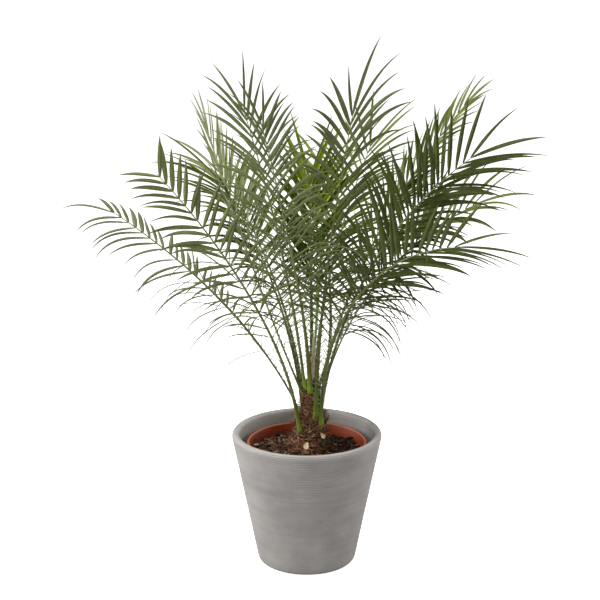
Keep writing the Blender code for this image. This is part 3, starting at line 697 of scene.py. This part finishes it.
def fibre_grids():
    """The strands all over the trunk, denser towards its foot, and those of the tufts."""
    random = np.random.default_rng(41)
    height = FIBRE_TOP * random.uniform(0, 1, FIBRES) ** 1.25
    reach = random.uniform(*FIBRE_REACHES, FIBRES)
    rise = random.normal(0.25, 0.45, FIBRES)
    length = random.uniform(*FIBRE_LENGTHS, FIBRES)
    width = random.uniform(*FIBRE_WIDTHS, FIBRES)
    azimuth = random.uniform(0, 360, FIBRES)
    grids = [fibre_strips(azimuth, height, reach, rise, length, width, random)]
    for tuft in TUFTS:
        azimuth = random.normal(tuft.azimuth, tuft.spread / 2, tuft.count)
        height = random.uniform(*tuft.height, tuft.count)
        reach = np.full(tuft.count, tuft.reach)
        rise = random.normal(tuft.rise, 0.3, tuft.count)
        length = random.uniform(*tuft.length, tuft.count)
        width = random.uniform(*tuft.width, tuft.count)
        grids.append(fibre_strips(azimuth, height, reach, rise, length, width, random))
    return np.concatenate(grids)


fibre_grid = fibre_grids()
fibre_looks = np.random.default_rng(42).choice(3, len(fibre_grid), p=FIBRE_SHARES)
fibre_looks = fibre_looks[:, None, None]
add_piece("trunk_fibres", fibre_grid, FIBRE_LOOKS, "trunk", looks=fibre_looks, sharp=80)


# Cut stubs: the feet of leaves that were cut off with a slanting cut, which left a cream face
# over a dark green skin, or a brown husk on the oldest. They sit in the fibre near the foot.
STUB_ROWS = 7
STUB_COLUMNS = 20
STUB_SINK = 0.006
Stub = namedtuple("Stub", "azimuth height width depth rise slant")
STUBS = (
    Stub(262, 0.016, 0.0135, 0.0115, 0.015, 1.00),
    Stub(312, 0.028, 0.0130, 0.0105, 0.020, 0.95),
    Stub(78, 0.034, 0.0120, 0.0090, 0.020, 0.90),
    Stub(160, 0.022, 0.0120, 0.0090, 0.018, 0.90),
)


def stub_grid(stub):
    """A rounded stalk hugging the trunk, its top row sheared so that the cut falls outwards."""
    turn = np.radians(stub.azimuth)
    outward, side = round_about(stub.azimuth)
    foot, _ = on_trunk(np.array([float(stub.azimuth)]), np.array([stub.height]), 0.0005)
    around = turns(STUB_COLUMNS)
    share = np.linspace(0, 1, STUB_ROWS)[:, None]
    ragged = 0.10 * np.sin(2 * around + turn) + 0.10 * np.sin(3 * around + 5 * turn)
    swell = 1 + 0.15 * np.cos(share * 3) + (ragged + 0.05 * np.sin(7 * around))
    out = np.sin(around) * stub.depth / 2 * swell
    across = np.cos(around) * stub.width / 2 * swell
    up = share * (stub.rise + stub.slant * out) - STUB_SINK
    level = foot + out[..., None] * -outward + across[..., None] * side
    return level + up[..., None] * np.array([0, 0, 1])


STUB_LOOKS = (
    grainy_material("stub_skin", (0.012, 0.020, 0.004, 1), (0.060, 0.075, 0.022, 1), 0.6),
    grainy_material("stub_face", (0.42, 0.28, 0.16, 1), (0.70, 0.52, 0.35, 1), 0.8),
    grainy_material("stub_husk", (0.060, 0.028, 0.014, 1), (0.300, 0.165, 0.085, 1), 0.9),
)
stub_looks = np.zeros((len(STUBS), STUB_ROWS, STUB_COLUMNS), int)
stub_looks[0] = 2
stub_looks[:, -1] = 1
stub_grids = np.stack([stub_grid(stub) for stub in STUBS])
add_piece("cut_stubs", stub_grids, STUB_LOOKS, "trunk", looks=stub_looks, sharp=35)


# Ribs: each frond's stalk, broad and bright green where it clasps the trunk, then a slender
# four-cornered rod that carries the leaflets out to the tip. It follows the source's rule.
PETIOLE_SHARE = 0.35
PAIRS = 22
ROOT_LENGTH = 0.0042
SPINE_POINTS = 61
TURN_SHARE = 0.45
ROLL_START = 0.05
ROLL_SHARE = 0.5
FOOT_SLICE = 0.008
RIB_PLACES = (0.0, 0.03, 0.12, 0.35, 1.0)
RIB_WIDTHS = (0.0130, 0.0105, 0.0084, 0.0058, 0.0016)
RIB_DEPTHS = (0.0060, 0.0058, 0.0052, 0.0042, 0.0015)
RIB_ROWS = 64
RIB_COLUMNS = 10
SINK = 0.010
RIB_STOPS = (
    (0.0, (0.200, 0.310, 0.028, 1)),
    (0.035, (0.115, 0.165, 0.022, 1)),
    (0.10, (0.080, 0.094, 0.026, 1)),
    (0.35, (0.112, 0.124, 0.044, 1)),
    (0.60, (0.140, 0.158, 0.060, 1)),
    (1.0, (0.170, 0.190, 0.075, 1)),
)


def smooth(share):
    """A share that starts and ends gently."""
    share = np.clip(share, 0, 1)
    return share * share * (3 - 2 * share)


def foot_of(name):
    """Centre of a frond's foot: the mean of the corners at the bottom of its solid."""
    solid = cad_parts[name].data
    corners = np.empty(len(solid.vertices) * 3, np.float32)
    solid.vertices.foreach_get("co", corners)
    corners = np.unique(corners.reshape(-1, 3).round(6), axis=0)
    return corners[corners[:, 2] < corners[:, 2].min() + FOOT_SLICE].mean(0)


class Spine:
    """Centreline of a frond: where it runs, and its direction, side and face, at any share.

    Its lean from upright grows with the share to the power of the bend, its azimuth turns over
    the first part, it rolls about itself, and its points are the running sum of its directions.
    """

    def __init__(self, frond):
        self.share = np.linspace(0, 1, SPINE_POINTS)
        lean = frond.foot_lean + (frond.tip_lean - frond.foot_lean) * self.share**frond.bend
        lean, upright = np.radians(lean)[:, None], np.array([0, 0, 1])
        turned_by = (frond.tip_azimuth - frond.foot_azimuth) * smooth(self.share / TURN_SHARE)
        outward, side = round_about(frond.foot_azimuth + turned_by)
        along = np.sin(lean) * outward + np.cos(lean) * upright
        face = np.sin(lean) * upright - np.cos(lean) * outward
        roll = np.radians(frond.roll * smooth((self.share - ROLL_START) / ROLL_SHARE))[:, None]
        steps = (along[1:] + along[:-1]) / 2 * frond.length / (SPINE_POINTS - 1)
        foot = foot_of(frond.name)
        point = np.concatenate([[foot], foot + np.cumsum(steps, 0)])
        cos, sin = np.cos(roll), np.sin(roll)
        rolled = cos * side + sin * face, cos * face - sin * side
        self.rows = np.concatenate([point, along, *rolled], 1)
        self.outward = outward[0]

    def at(self, shares):
        """Point, direction, side and face at those shares."""
        found = np.stack([np.interp(shares, self.share, row) for row in self.rows.T], -1)
        return found[..., :3], unit(found[..., 3:6]), unit(found[..., 6:9]), unit(found[..., 9:])


def rib_grid(spine):
    """Sections along the spine: flat on the face side, round on the back, sunk into the trunk."""
    shares = np.concatenate([[0], np.geomspace(0.008, 1, RIB_ROWS - 1)])
    point, along, side, face = spine.at(shares)
    point[0] -= SINK * along[0] + 0.6 * SINK * spine.outward
    width = np.interp(shares, RIB_PLACES, RIB_WIDTHS)
    depth = np.interp(shares, RIB_PLACES, RIB_DEPTHS)
    turn = turns(RIB_COLUMNS)
    across, up = np.cos(turn), np.where(np.sin(turn) > 0, 0.45, 1.0) * np.sin(turn)
    grid = point[:, None] + (width[:, None] / 2 * across)[..., None] * side[:, None]
    return grid + (depth[:, None] / 2 * up)[..., None] * face[:, None], shares


def streaks(tree, where, colour):
    """A green skin's colour with faint lengthwise streaks, and their height."""
    low, high = (0.80, 0.80, 0.78, 1), (1.2, 1.18, 1.15, 1)
    shade, height = blotches(tree, where, 90, low, high, (1, 1, 0.12), 4, 0.32, 0.66)
    return shaded(tree, colour, shade), height


def rib_material():
    """Smooth waxy skin: bright at the foot, dark olive along the stalk, paler along the rib."""
    material, tree, shader, where = new_material("rib_skin", RIB_STOPS[2][1], 0.60, 0.12)
    place = add_node(tree, "Attribute", {}, attribute_name="place").outputs["Fac"]
    ramp = add_node(tree, "ValToRGB", {0: place})
    stops = ramp.color_ramp.elements
    stops.remove(stops[1])
    stops[0].color = RIB_STOPS[0][1]
    for share, colour in RIB_STOPS[1:]:
        stops.new(share).color = colour
    cover(tree, shader, *streaks(tree, where, ramp.outputs["Color"]), 0.0004)
    return material


SPINES = {frond.name: Spine(frond) for frond in FRONDS}
RIB_SKIN = rib_material()
for frond in FRONDS:
    rib_points, rib_shares = rib_grid(SPINES[frond.name])
    name = frond.name + "_rib"
    rib = add_piece(name, rib_points, [RIB_SKIN], "leaf_green", frond.name, sharp=60)
    mark_points(rib, "place", np.repeat(rib_shares, RIB_COLUMNS))


# Leaflets: long narrow blades folded up along their middle, glossy above and greyer below, in two
# ranks along each rib. They grow out of its sides, sag with their weight, and thin to a point.
REACH_PLACES = (0.0, 0.25, 0.5, 0.75, 0.92, 1.0)
LEAFLET_ANGLES = (66, 60, 53, 44, 35)
ANGLE_SPREADS = (15, 12, 9.5, 7, 6, 4)
LEAFLET_LIFT = 20
LIFT_SPREADS = (22, 18, 14, 10, 8, 6)
LENGTH_SHARES = (0.80, 0.95, 1.02, 1.03, 1.05, 1.08)
LEAFLET_WIDTHS = (0.0034, 0.0056, 0.0084, 0.0088, 0.0084, 0.0076)
LENGTH_SPREAD = 0.07
LEAFLET_SAGS = (0.052, 0.045, 0.038, 0.032, 0.027, 0.020)
SAG_SPREAD = 0.35
SOURCE_BENDS = 28
SEED = 11
ROWS = 15
FOLDS = (22, 40)
BLADE_THICKNESS = 0.00030
WIDTH_PLACES = (0, 0.05, 0.14, 0.32, 0.50, 0.68, 0.84, 0.94, 1.0)
WIDTH_SHARES = (0.36, 0.52, 0.82, 1.0, 0.96, 0.78, 0.48, 0.22, 0.03)
EXTRA_PAIRS = {"grey": 6, "front": 6, "thin": 6}
FEWER_PAIRS = 3
EXTRA_REACHES = {"thin": (0.12, 0.42)}
LOWER_REACHES = (-0.06, 0.42)
EXTRA_RANGES = {
    "angle": (30, 85), "lift": (-30, 60), "length": (0.65, 1.45),
    "sag": (0.02, 0.075), "width": (0.0018, 0.0038),
}
LIMP = 7
LIMP_RANGES = {
    "share": (0.31, 0.44), "angle": (45, 85), "lift": (-45, 10), "length": (0.12, 0.185),
    "sag": (0.055, 0.095), "width": (0.0030, 0.0044),
}
LIMP_FRONDS = ("frond_03", "frond_04", "frond_05")
DOUBLED_FROM = 0.42
DOUBLED = {"frond_03": 0.60, "frond_05": 0.84, "frond_08": 0.68, "frond_13": 0.78}
DOUBLED_WIDTH = 0.005
DOUBLED_LIFTS = (12, 34)
DOUBLED_ANGLES = (-9, 9)
THIN_UNTIL = 0.85
THIN_WIDTHS = (1.0, 1.8)
THIN_LENGTHS = (0.8, 1.25)
TWIST_SPREAD = 22
SLENDER = 0.0042
# Painted light: the lightest tone given to the lowest pairs of leaflets.
LOW_PAINTED_LIGHT = 0.80
TONE_SPREAD = 0.28
# A frond's look: its slot, a factor on its leaflets' width, and the colours of a blade that is
# dark, middling or light, of any blade's back, and of its foot.
Tint = namedtuple("Tint", "slot width colours")
TINTS = {
    "green": Tint("leaf_green", 1.0, (
        (0.043, 0.062, 0.003), (0.085, 0.110, 0.010), (0.166, 0.182, 0.078),
        (0.125, 0.147, 0.050), (0.105, 0.128, 0.034))),
    "bright": Tint("leaf_green", 1.1, (
        (0.044, 0.072, 0.002), (0.084, 0.122, 0.005), (0.145, 0.180, 0.024),
        (0.105, 0.142, 0.014), (0.100, 0.135, 0.020))),
    "deep": Tint("leaf_green", 1.2, (
        (0.017, 0.027, 0.001), (0.042, 0.060, 0.002), (0.110, 0.128, 0.032),
        (0.062, 0.080, 0.015), (0.052, 0.066, 0.018))),
    "back": Tint("leaf_green", 0.92, (
        (0.026, 0.046, 0.001), (0.056, 0.084, 0.003), (0.120, 0.144, 0.036),
        (0.080, 0.104, 0.020), (0.070, 0.090, 0.018))),
    "front": Tint("leaf_green", 1.25, (
        (0.040, 0.066, 0.001), (0.082, 0.116, 0.004), (0.150, 0.166, 0.066),
        (0.108, 0.128, 0.045), (0.100, 0.122, 0.036))),
    "grey": Tint("leaf_green", 0.95, (
        (0.027, 0.048, 0.002), (0.060, 0.086, 0.008), (0.156, 0.170, 0.098),
        (0.102, 0.124, 0.044), (0.100, 0.120, 0.042))),
    "thin": Tint("leaf_green", 0.85, (
        (0.070, 0.083, 0.022), (0.108, 0.122, 0.046), (0.165, 0.178, 0.092),
        (0.130, 0.144, 0.070), (0.105, 0.120, 0.042))),
    "pale": Tint("leaf_pale", 0.9, (
        (0.120, 0.150, 0.036), (0.190, 0.224, 0.080), (0.310, 0.340, 0.185),
        (0.225, 0.255, 0.115), (0.20, 0.24, 0.09))),
    "young": Tint("leaf_young", 1.25, (
        (0.062, 0.100, 0.002), (0.115, 0.165, 0.005), (0.195, 0.245, 0.020),
        (0.135, 0.185, 0.012), (0.13, 0.17, 0.02))),
}
TONES = ("blade_0", 0.45), ("blade_1", 0.45), ("blade_2", 0.45)
BLADE_PARTS = (*TONES, ("back", 0.55), ("heel", 0.5))


def reach_of(share):
    """How far up the leafy part of a rib a share lies: 0 at its lowest pair and 1 at its tip."""
    return (share - PETIOLE_SHARE) / (1 - PETIOLE_SHARE)


def by_reach(reach, values):
    """The value at a reach, from those given at the reach places."""
    return np.interp(reach, REACH_PLACES, values)


def drawn(random, count, **ranges):
    """Random values from each range, drawn in the order in which the ranges are given."""
    return {name: random.uniform(*ends, count) for name, ends in ranges.items()}


def source_leaflets(frond, random):
    """The leaflets of the source's rule, with its draws."""
    last = 1 - 2.2 * ROOT_LENGTH / frond.length
    share = np.repeat(np.linspace(PETIOLE_SHARE, last, PAIRS), 2)
    draw = random.uniform(-1, 1, (2 * PAIRS, 4)).T
    reach = reach_of(share)
    angle = by_reach(reach, (*LEAFLET_ANGLES, frond.tip_angle))
    length = frond.leaflet * by_reach(reach, LENGTH_SHARES) * (1 + LENGTH_SPREAD * draw[2])
    width = by_reach(reach, LEAFLET_WIDTHS) * random.uniform(0.85, 1.08, 2 * PAIRS)
    return {
        "share": share,
        "hand": np.tile([1, -1], PAIRS),
        "angle": (angle + draw[0] * by_reach(reach, ANGLE_SPREADS)) * frond.opening,
        "lift": LEAFLET_LIFT + draw[1] * by_reach(reach, LIFT_SPREADS),
        "length": length * (1 + (frond.last_share - 1) * reach**2),
        "sag": by_reach(reach, LEAFLET_SAGS) * frond.droop * (1 + SAG_SPREAD * draw[3]),
        "width": width * TINTS[frond.tint].width,
    }


def extra_leaflets(frond, random):
    """Thinner and limper leaflets between the lower pairs."""
    pairs = EXTRA_PAIRS.get(frond.tint, FEWER_PAIRS)
    ends = EXTRA_REACHES.get(frond.tint, LOWER_REACHES)
    reach = np.repeat(np.linspace(*ends, pairs), 2)
    reach += random.uniform(-0.02, 0.02, 2 * pairs)
    given = drawn(random, 2 * pairs, **EXTRA_RANGES)
    given["length"] *= frond.leaflet
    share = PETIOLE_SHARE + (1 - PETIOLE_SHARE) * reach
    return {"share": share, "hand": np.tile([1, -1], pairs), **given}


def limp_leaflets(random):
    """Long limp leaflets that hang from one side, about the lowest pairs."""
    given = drawn(random, LIMP, **LIMP_RANGES)
    return {"hand": np.ones(LIMP), **given}


def joined(rules):
    """One rule with the leaflets of several."""
    return {name: np.concatenate([rule[name] for rule in rules]) for name in rules[0]}


def chosen(rule, which):
    """The rule of those leaflets only."""
    return {name: values[which] for name, values in rule.items()}


def leaflet_rules(frond, random):
    """Place and shape of every leaflet: the source's, the extra, the limp and the doubled ones."""
    added = [source_leaflets(frond, random), extra_leaflets(frond, random), limp_leaflets(random)]
    if frond.name not in LIMP_FRONDS:
        added.pop()
    rule = joined(added)
    if frond.name in DOUBLED:
        share = rule["share"]
        more = (share > DOUBLED_FROM) & (share < DOUBLED[frond.name])
        more = more & (rule["width"] > DOUBLED_WIDTH)
        again, count = chosen(rule, more), more.sum()
        again["share"] += (1 - PETIOLE_SHARE) / PAIRS / 2
        again["lift"] += random.uniform(*DOUBLED_LIFTS, count) * random.choice([-1, 1], count)
        again["angle"] += random.uniform(*DOUBLED_ANGLES, count)
        rule = joined([rule, again])
    rule["length"] *= np.where(rule["hand"] > 0, frond.left_share, 1)
    if frond.tint == "thin":
        below = rule["hand"] < 0
        dropped = below & (np.arange(len(below)) // 2 % 4 == 1) & (rule["share"] < THIN_UNTIL)
        rule["width"] *= np.where(below, 0.85, random.uniform(*THIN_WIDTHS, len(below)))
        rule["length"] *= np.where(below, random.uniform(*THIN_LENGTHS, len(below)), 1)
        rule = chosen(rule, ~dropped)
    rule["twist"] = np.radians(random.normal(0, TWIST_SPREAD, len(rule["share"])))
    rule["fold"] = np.radians(random.uniform(*FOLDS, len(rule["share"])))
    return rule


def headings(placed, hand, angle, lift):
    """Directions off a rib: its own, turned to one side by the angle and lifted to its face."""
    _, along, side, face = placed
    outward = hand * np.cos(lift) * side + np.sin(lift) * face
    return np.cos(angle) * along + np.sin(angle) * outward


def leaflet_grid(spine, rule):
    """Folded blades: each row has its right edge, raised middle line, left edge and back line."""
    placed = point, _, side, face = spine.at(rule["share"])
    angle, lift = np.radians(rule["angle"])[:, None], np.radians(rule["lift"])[:, None]
    hand = rule["hand"][:, None]
    heading = headings(placed, hand, angle, lift)
    rib_width = np.interp(rule["share"], RIB_PLACES, RIB_WIDTHS)[:, None]
    start = point + hand * side * rib_width * 0.3
    steps = ROWS - 1
    sag = rule["sag"] * SOURCE_BENDS / (steps * (steps - 1) / 2)
    points = paths(start, heading, rule["length"], sag, ROWS)
    side, face = frames(points, face, rule["twist"])
    place = np.linspace(0, 1, ROWS)
    half = (rule["width"][:, None] / 2 * np.interp(place, WIDTH_PLACES, WIDTH_SHARES))[..., None]
    fold = rule["fold"][:, None, None]
    edge, rise = side * half * np.cos(fold), face * half * np.sin(fold)
    back = points - face * np.minimum(BLADE_THICKNESS, half)
    grid = np.stack([points + edge + rise, points, points - edge + rise, back], 2)
    uv = np.stack(np.broadcast_arrays(place[None, :, None], np.array([1, 0.5, 0, 0.5])), -1)
    return grid, np.broadcast_to(uv, (*grid.shape[:3], 2))


def blade_material(name, colour, roughness):
    """A leaflet's skin: fine veins along it, a slight mottle and a satin gloss."""
    light, dark = (*[1.12 * c for c in colour], 1), (*[0.84 * c for c in colour], 1)
    material, tree, shader, where = new_material(name, (*colour, 1), roughness, 0.14)
    strip = add_node(tree, "UVMap", {}, uv_map="strip").outputs["UV"]
    mottle, _ = blotches(tree, where, 30, dark, light, detail=2)
    low, high = (0.88, 0.88, 0.86, 1), (1.1, 1.1, 1.1, 1)
    veins, height = blotches(tree, strip, 1, low, high, (1.5, 22, 1), 2)
    cover(tree, shader, shaded(tree, mottle, veins), height, 0.0002)
    return material


def blade_looks(frond, rule, random):
    """Which colour each cell has: its blade's tone above, one for all backs and one for feet.

    Blades are lightest at the frond's tip, with a random spread, and the lowest pairs are made
    lighter too: painted light on leaflets that the crown above shades.
    Slender ones are lighter still, and so are those on the left side of a grey frond.
    """
    tone = reach_of(rule["share"])
    # Painted light: the lowest pairs get lighter tones, though the crown above shades them.
    tone = np.maximum(tone, LOW_PAINTED_LIGHT - (2.6 if frond.tint == "deep" else 1.2) * tone)
    tone = tone + random.normal(0, TONE_SPREAD, len(tone)) + 0.5 * (rule["width"] < SLENDER)
    tone = tone - 0.5 * ((rule["hand"] > 0) & (frond.tint == "grey"))
    tone = tone - 0.4 * (frond.tint == "young")
    looks = np.clip(tone * 3, 0, 2).astype(int)[:, None, None].repeat(ROWS, 1).repeat(4, 2)
    looks[:, :, 2:] = 3
    looks[:, :1] = 4
    return looks


LEAF_LOOKS = {name: [] for name in TINTS}
for name, tint in TINTS.items():
    for (part, roughness), colour in zip(BLADE_PARTS, tint.colours):
        LEAF_LOOKS[name].append(blade_material(f"{name}_{part}", colour, roughness))

for number, frond in enumerate(FRONDS):
    random = np.random.default_rng(SEED + number)
    rule = leaflet_rules(frond, random)
    blades, strip_uv = leaflet_grid(SPINES[frond.name], rule)
    looks = blade_looks(frond, rule, random)
    given = frond.name + "_leaflets", blades, LEAF_LOOKS[frond.tint], TINTS[frond.tint].slot
    add_piece(*given, frond.name, uv=strip_uv, looks=looks, sharp=35)


# Spines: leaflets of the stalk that grew as thin stiff thorns, straw green, standing off both its
# sides below the first leaflets. They get longer up the stalk.
THORNS = 14
THORN_LENGTHS = (0.012, 0.036)
THORN_SHARES = (0.07, 0.345)
THORN_ANGLES = (32, 62)
THORN_PROUD = 0.0018
THORN_WIDTHS = 0.0022 * np.array([1, 0.85, 0.62, 0.38, 0.08])


def thorn_grid(spine, seed):
    """Thin pointed strips off both sides of the stalk, leaning towards its tip."""
    random = np.random.default_rng(seed)
    share = np.repeat(np.linspace(*THORN_SHARES, THORNS), 2)
    share += random.uniform(-0.008, 0.008, 2 * THORNS)
    hand = np.tile([1, -1], THORNS)[:, None]
    placed = point, _, side, face = spine.at(share)
    angle, lift = np.radians(random.uniform(*THORN_ANGLES, (2, 2 * THORNS, 1)) * [[[1]], [[0.5]]])
    heading = headings(placed, hand, angle, lift)
    length = np.interp(share, (0.07, 0.33), THORN_LENGTHS) * random.uniform(0.6, 1.25, len(share))
    sag = random.uniform(-0.02, 0.05, len(share))
    points = paths(point + hand * side * THORN_PROUD, heading, length, sag, len(THORN_WIDTHS))
    width = THORN_WIDTHS * random.uniform(0.8, 1.2, (len(share), 1))
    return strips(points, face, width, width, 4)


def streaked_material(name, colour, roughness):
    """A plain green skin with faint lengthwise streaks."""
    material, tree, shader, where = new_material(name, colour, roughness)
    cover(tree, shader, *streaks(tree, where, colour), 0.0003)
    return material


thorn_grids = [thorn_grid(SPINES[frond.name], 60 + n) for n, frond in enumerate(FRONDS)]
STRAW_GREEN = streaked_material("straw_green", (0.26, 0.30, 0.13, 1), 0.5)
add_piece("stalk_spines", np.concatenate(thorn_grids), [STRAW_GREEN], "leaf_green", sharp=50)


# Dry strips: what is left of two old sheaths, one papery and pale, one brown and stringy. They
# stand among the stalks with their feet in the fibre, curling at their edges.
DRY_ROWS = 26
DRY_COLUMNS = 12
DRY_PLACES = (0, 0.2, 0.4, 0.6, 0.8, 1)
DRY_WIDTHS = (0.65, 0.85, 0.95, 0.9, 0.6, 0.04)
Dry = namedtuple("Dry", "node azimuth lean length width look")
DRY_STRIPS = (
    Dry("dry_bract", 272, 6, 0.105, 0.0078, ((0.40, 0.30, 0.17, 1), (0.66, 0.56, 0.38, 1))),
    Dry("dry_stalk", 312, 5, 0.110, 0.0074, ((0.085, 0.045, 0.022, 1), (0.24, 0.14, 0.075, 1))),
)


def dry_grid(dry, seed):
    """A curled strip from the node's foot to its tip, swaying a little, with a ragged edge."""
    random = np.random.default_rng(seed)
    lean = math.tan(math.radians(dry.lean)) * dry.length
    outward, side = round_about(dry.azimuth)
    low, high = (np.array(corner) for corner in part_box(dry.node))
    foot = np.array([*(low + (high - low) * 0.5)[:2], low[2]]) - outward * lean / 2
    share = np.linspace(0, 1, DRY_ROWS)
    path = foot + share[:, None] * np.array([0, 0, dry.length])
    path = path + outward * (lean * share**1.6)[:, None]
    width = dry.width * np.interp(share, DRY_PLACES, DRY_WIDTHS)
    width = width * (1 + 0.12 * np.sin(share * 31 + seed) + random.normal(0, 0.05, DRY_ROWS))
    columns = turns(DRY_COLUMNS)
    across = np.cos(columns) * width[:, None] / 2
    curl = 0.45 * np.abs(across) ** 2 / dry.width + 0.0004 * np.sin(columns)
    return path[:, None] + across[..., None] * side + curl[..., None] * outward


for number, dry in enumerate(DRY_STRIPS):
    material, tree, shader, where = new_material(dry.node + "_skin", dry.look[1], 0.85)
    mottle = blotches(tree, where, 130, *dry.look, (1, 1, 0.10), 4, 0.35, 0.62)
    cover(tree, shader, *mottle, 0.0005)
    name = dry.node + "_strip"
    add_piece(name, dry_grid(dry, 70 + number), [material], dry.node, dry.node, sharp=60)


# Spear: the youngest leaf, still closed, its leaflets pressed together round the rib. It stands
# on the trunk's tip at the heart of the crown.
SPEAR_LENGTH = 0.300
SPEAR_LEAN = (0.054, 0.016, 1.0)
SPEAR_BLADES = 9
SPEAR_WIDTH = 0.0042
SPEAR_SPREAD = 0.0022
SPEAR_ROWS = 20


def spear_grid():
    """Slim blades that start together at the trunk's tip and close again towards the point."""
    random = np.random.default_rng(81)
    foot = np.array([trunk_axis(TRUNK_HEIGHT)[0], 0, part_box("spear")[0].z])
    share = np.linspace(0, 1, SPEAR_ROWS)
    azimuth = np.arange(SPEAR_BLADES) * GOLDEN_ANGLE
    face, _ = round_about(azimuth)
    length = SPEAR_LENGTH * np.concatenate([[1.0], random.uniform(0.55, 0.92, SPEAR_BLADES - 1)])
    spread = SPEAR_SPREAD * np.sin(share * math.pi) * (azimuth > 0)[:, None]
    path = foot + length[:, None, None] * share[:, None] * np.array(SPEAR_LEAN)
    path = path + spread[..., None] * face[:, None]
    width = SPEAR_WIDTH * np.interp(share, (0, 0.3, 0.7, 1), (0.7, 1, 0.7, 0.04))
    width = width * np.ones((SPEAR_BLADES, 1))
    return strips(path, face, width, width * 0.4, 6)


SPEAR_GREEN = streaked_material("spear_green", (0.15, 0.25, 0.035, 1), 0.45)
add_piece("spear_blades", spear_grid(), [SPEAR_GREEN], "leaf_young", "spear", sharp=50)


# Stage: a white floor, a soft box high at the left, a weaker one at the right, one overhead and
# pale air all round. The camera looks down a little, from well back, as the photograph does.
FLOOR_RADIUS = 40.0
FLOOR_SIDES = 96
FLOOR_GLOW = 1.0
AIR = 0.17
AIM_HEIGHT = 0.5
CAMERA_PLACE = (-0.0137, -4.178, 1.772)
CAMERA_DIP = 16.3
LENS = 132.0
SoftBox = namedtuple("SoftBox", "name place size power")
SOFT_BOXES = (
    SoftBox("left_box", (-2.4, 0.20, 0.95), 1.6, 61.0),
    SoftBox("right_box", (2.3, 1.1, 0.45), 1.1, 47.0),
    SoftBox("top_box", (-0.5, -0.8, 2.8), 1.6, 98.0),
)

floor_profile = np.array([[0.01, -0.02], [FLOOR_RADIUS, -0.02], [FLOOR_RADIUS, 0], [0.01, 0]])
floor = closed_mesh("floor", turned(floor_profile, FLOOR_SIDES))
material, tree, shader, where = new_material("white_floor", (0.88, 0.88, 0.88, 1), 0.9)
shader.inputs["Emission Color"].default_value = (1, 1, 1, 1)
seen = add_node(tree, "LightPath", {}).outputs["Is Camera Ray"]
tree.links.new(between(tree, seen, 0, 1, 0, FLOOR_GLOW), shader.inputs["Emission Strength"])
floor.data.materials.append(material)

world = bpy.data.worlds.new("pale_air")
bpy.context.scene.world = world
world.use_nodes = True
air = world.node_tree.nodes["Background"]
air.inputs["Color"].default_value = (1, 1, 1, 1)
seen = add_node(world.node_tree, "LightPath", {}).outputs["Is Camera Ray"]
world.node_tree.links.new(between(world.node_tree, seen, 0, 1, AIR, 1.0), air.inputs["Strength"])


def stand(name, data, place, turn):
    """Puts a lamp or the camera in the scene."""
    made = bpy.data.objects.new(name, data)
    bpy.context.scene.collection.objects.link(made)
    made.location, made.rotation_euler = place, turn
    return made


for box in SOFT_BOXES:
    lamp = bpy.data.lights.new(box.name, "AREA")
    lamp.shape, lamp.size, lamp.energy = "DISK", box.size, box.power
    x, y, z = np.array([0, 0, AIM_HEIGHT]) - np.array(box.place)
    stand(box.name, lamp, box.place, (math.atan2(math.hypot(x, y), -z), 0, math.atan2(-x, y)))

camera = bpy.data.cameras.new("camera")
camera.lens = LENS
camera.sensor_width = 36.0
viewer = stand("camera", camera, CAMERA_PLACE, (math.radians(90 - CAMERA_DIP), 0, 0))
bpy.context.scene.camera = viewer
bpy.context.scene.view_settings.view_transform = "Standard"

bpy.context.view_layer.update()
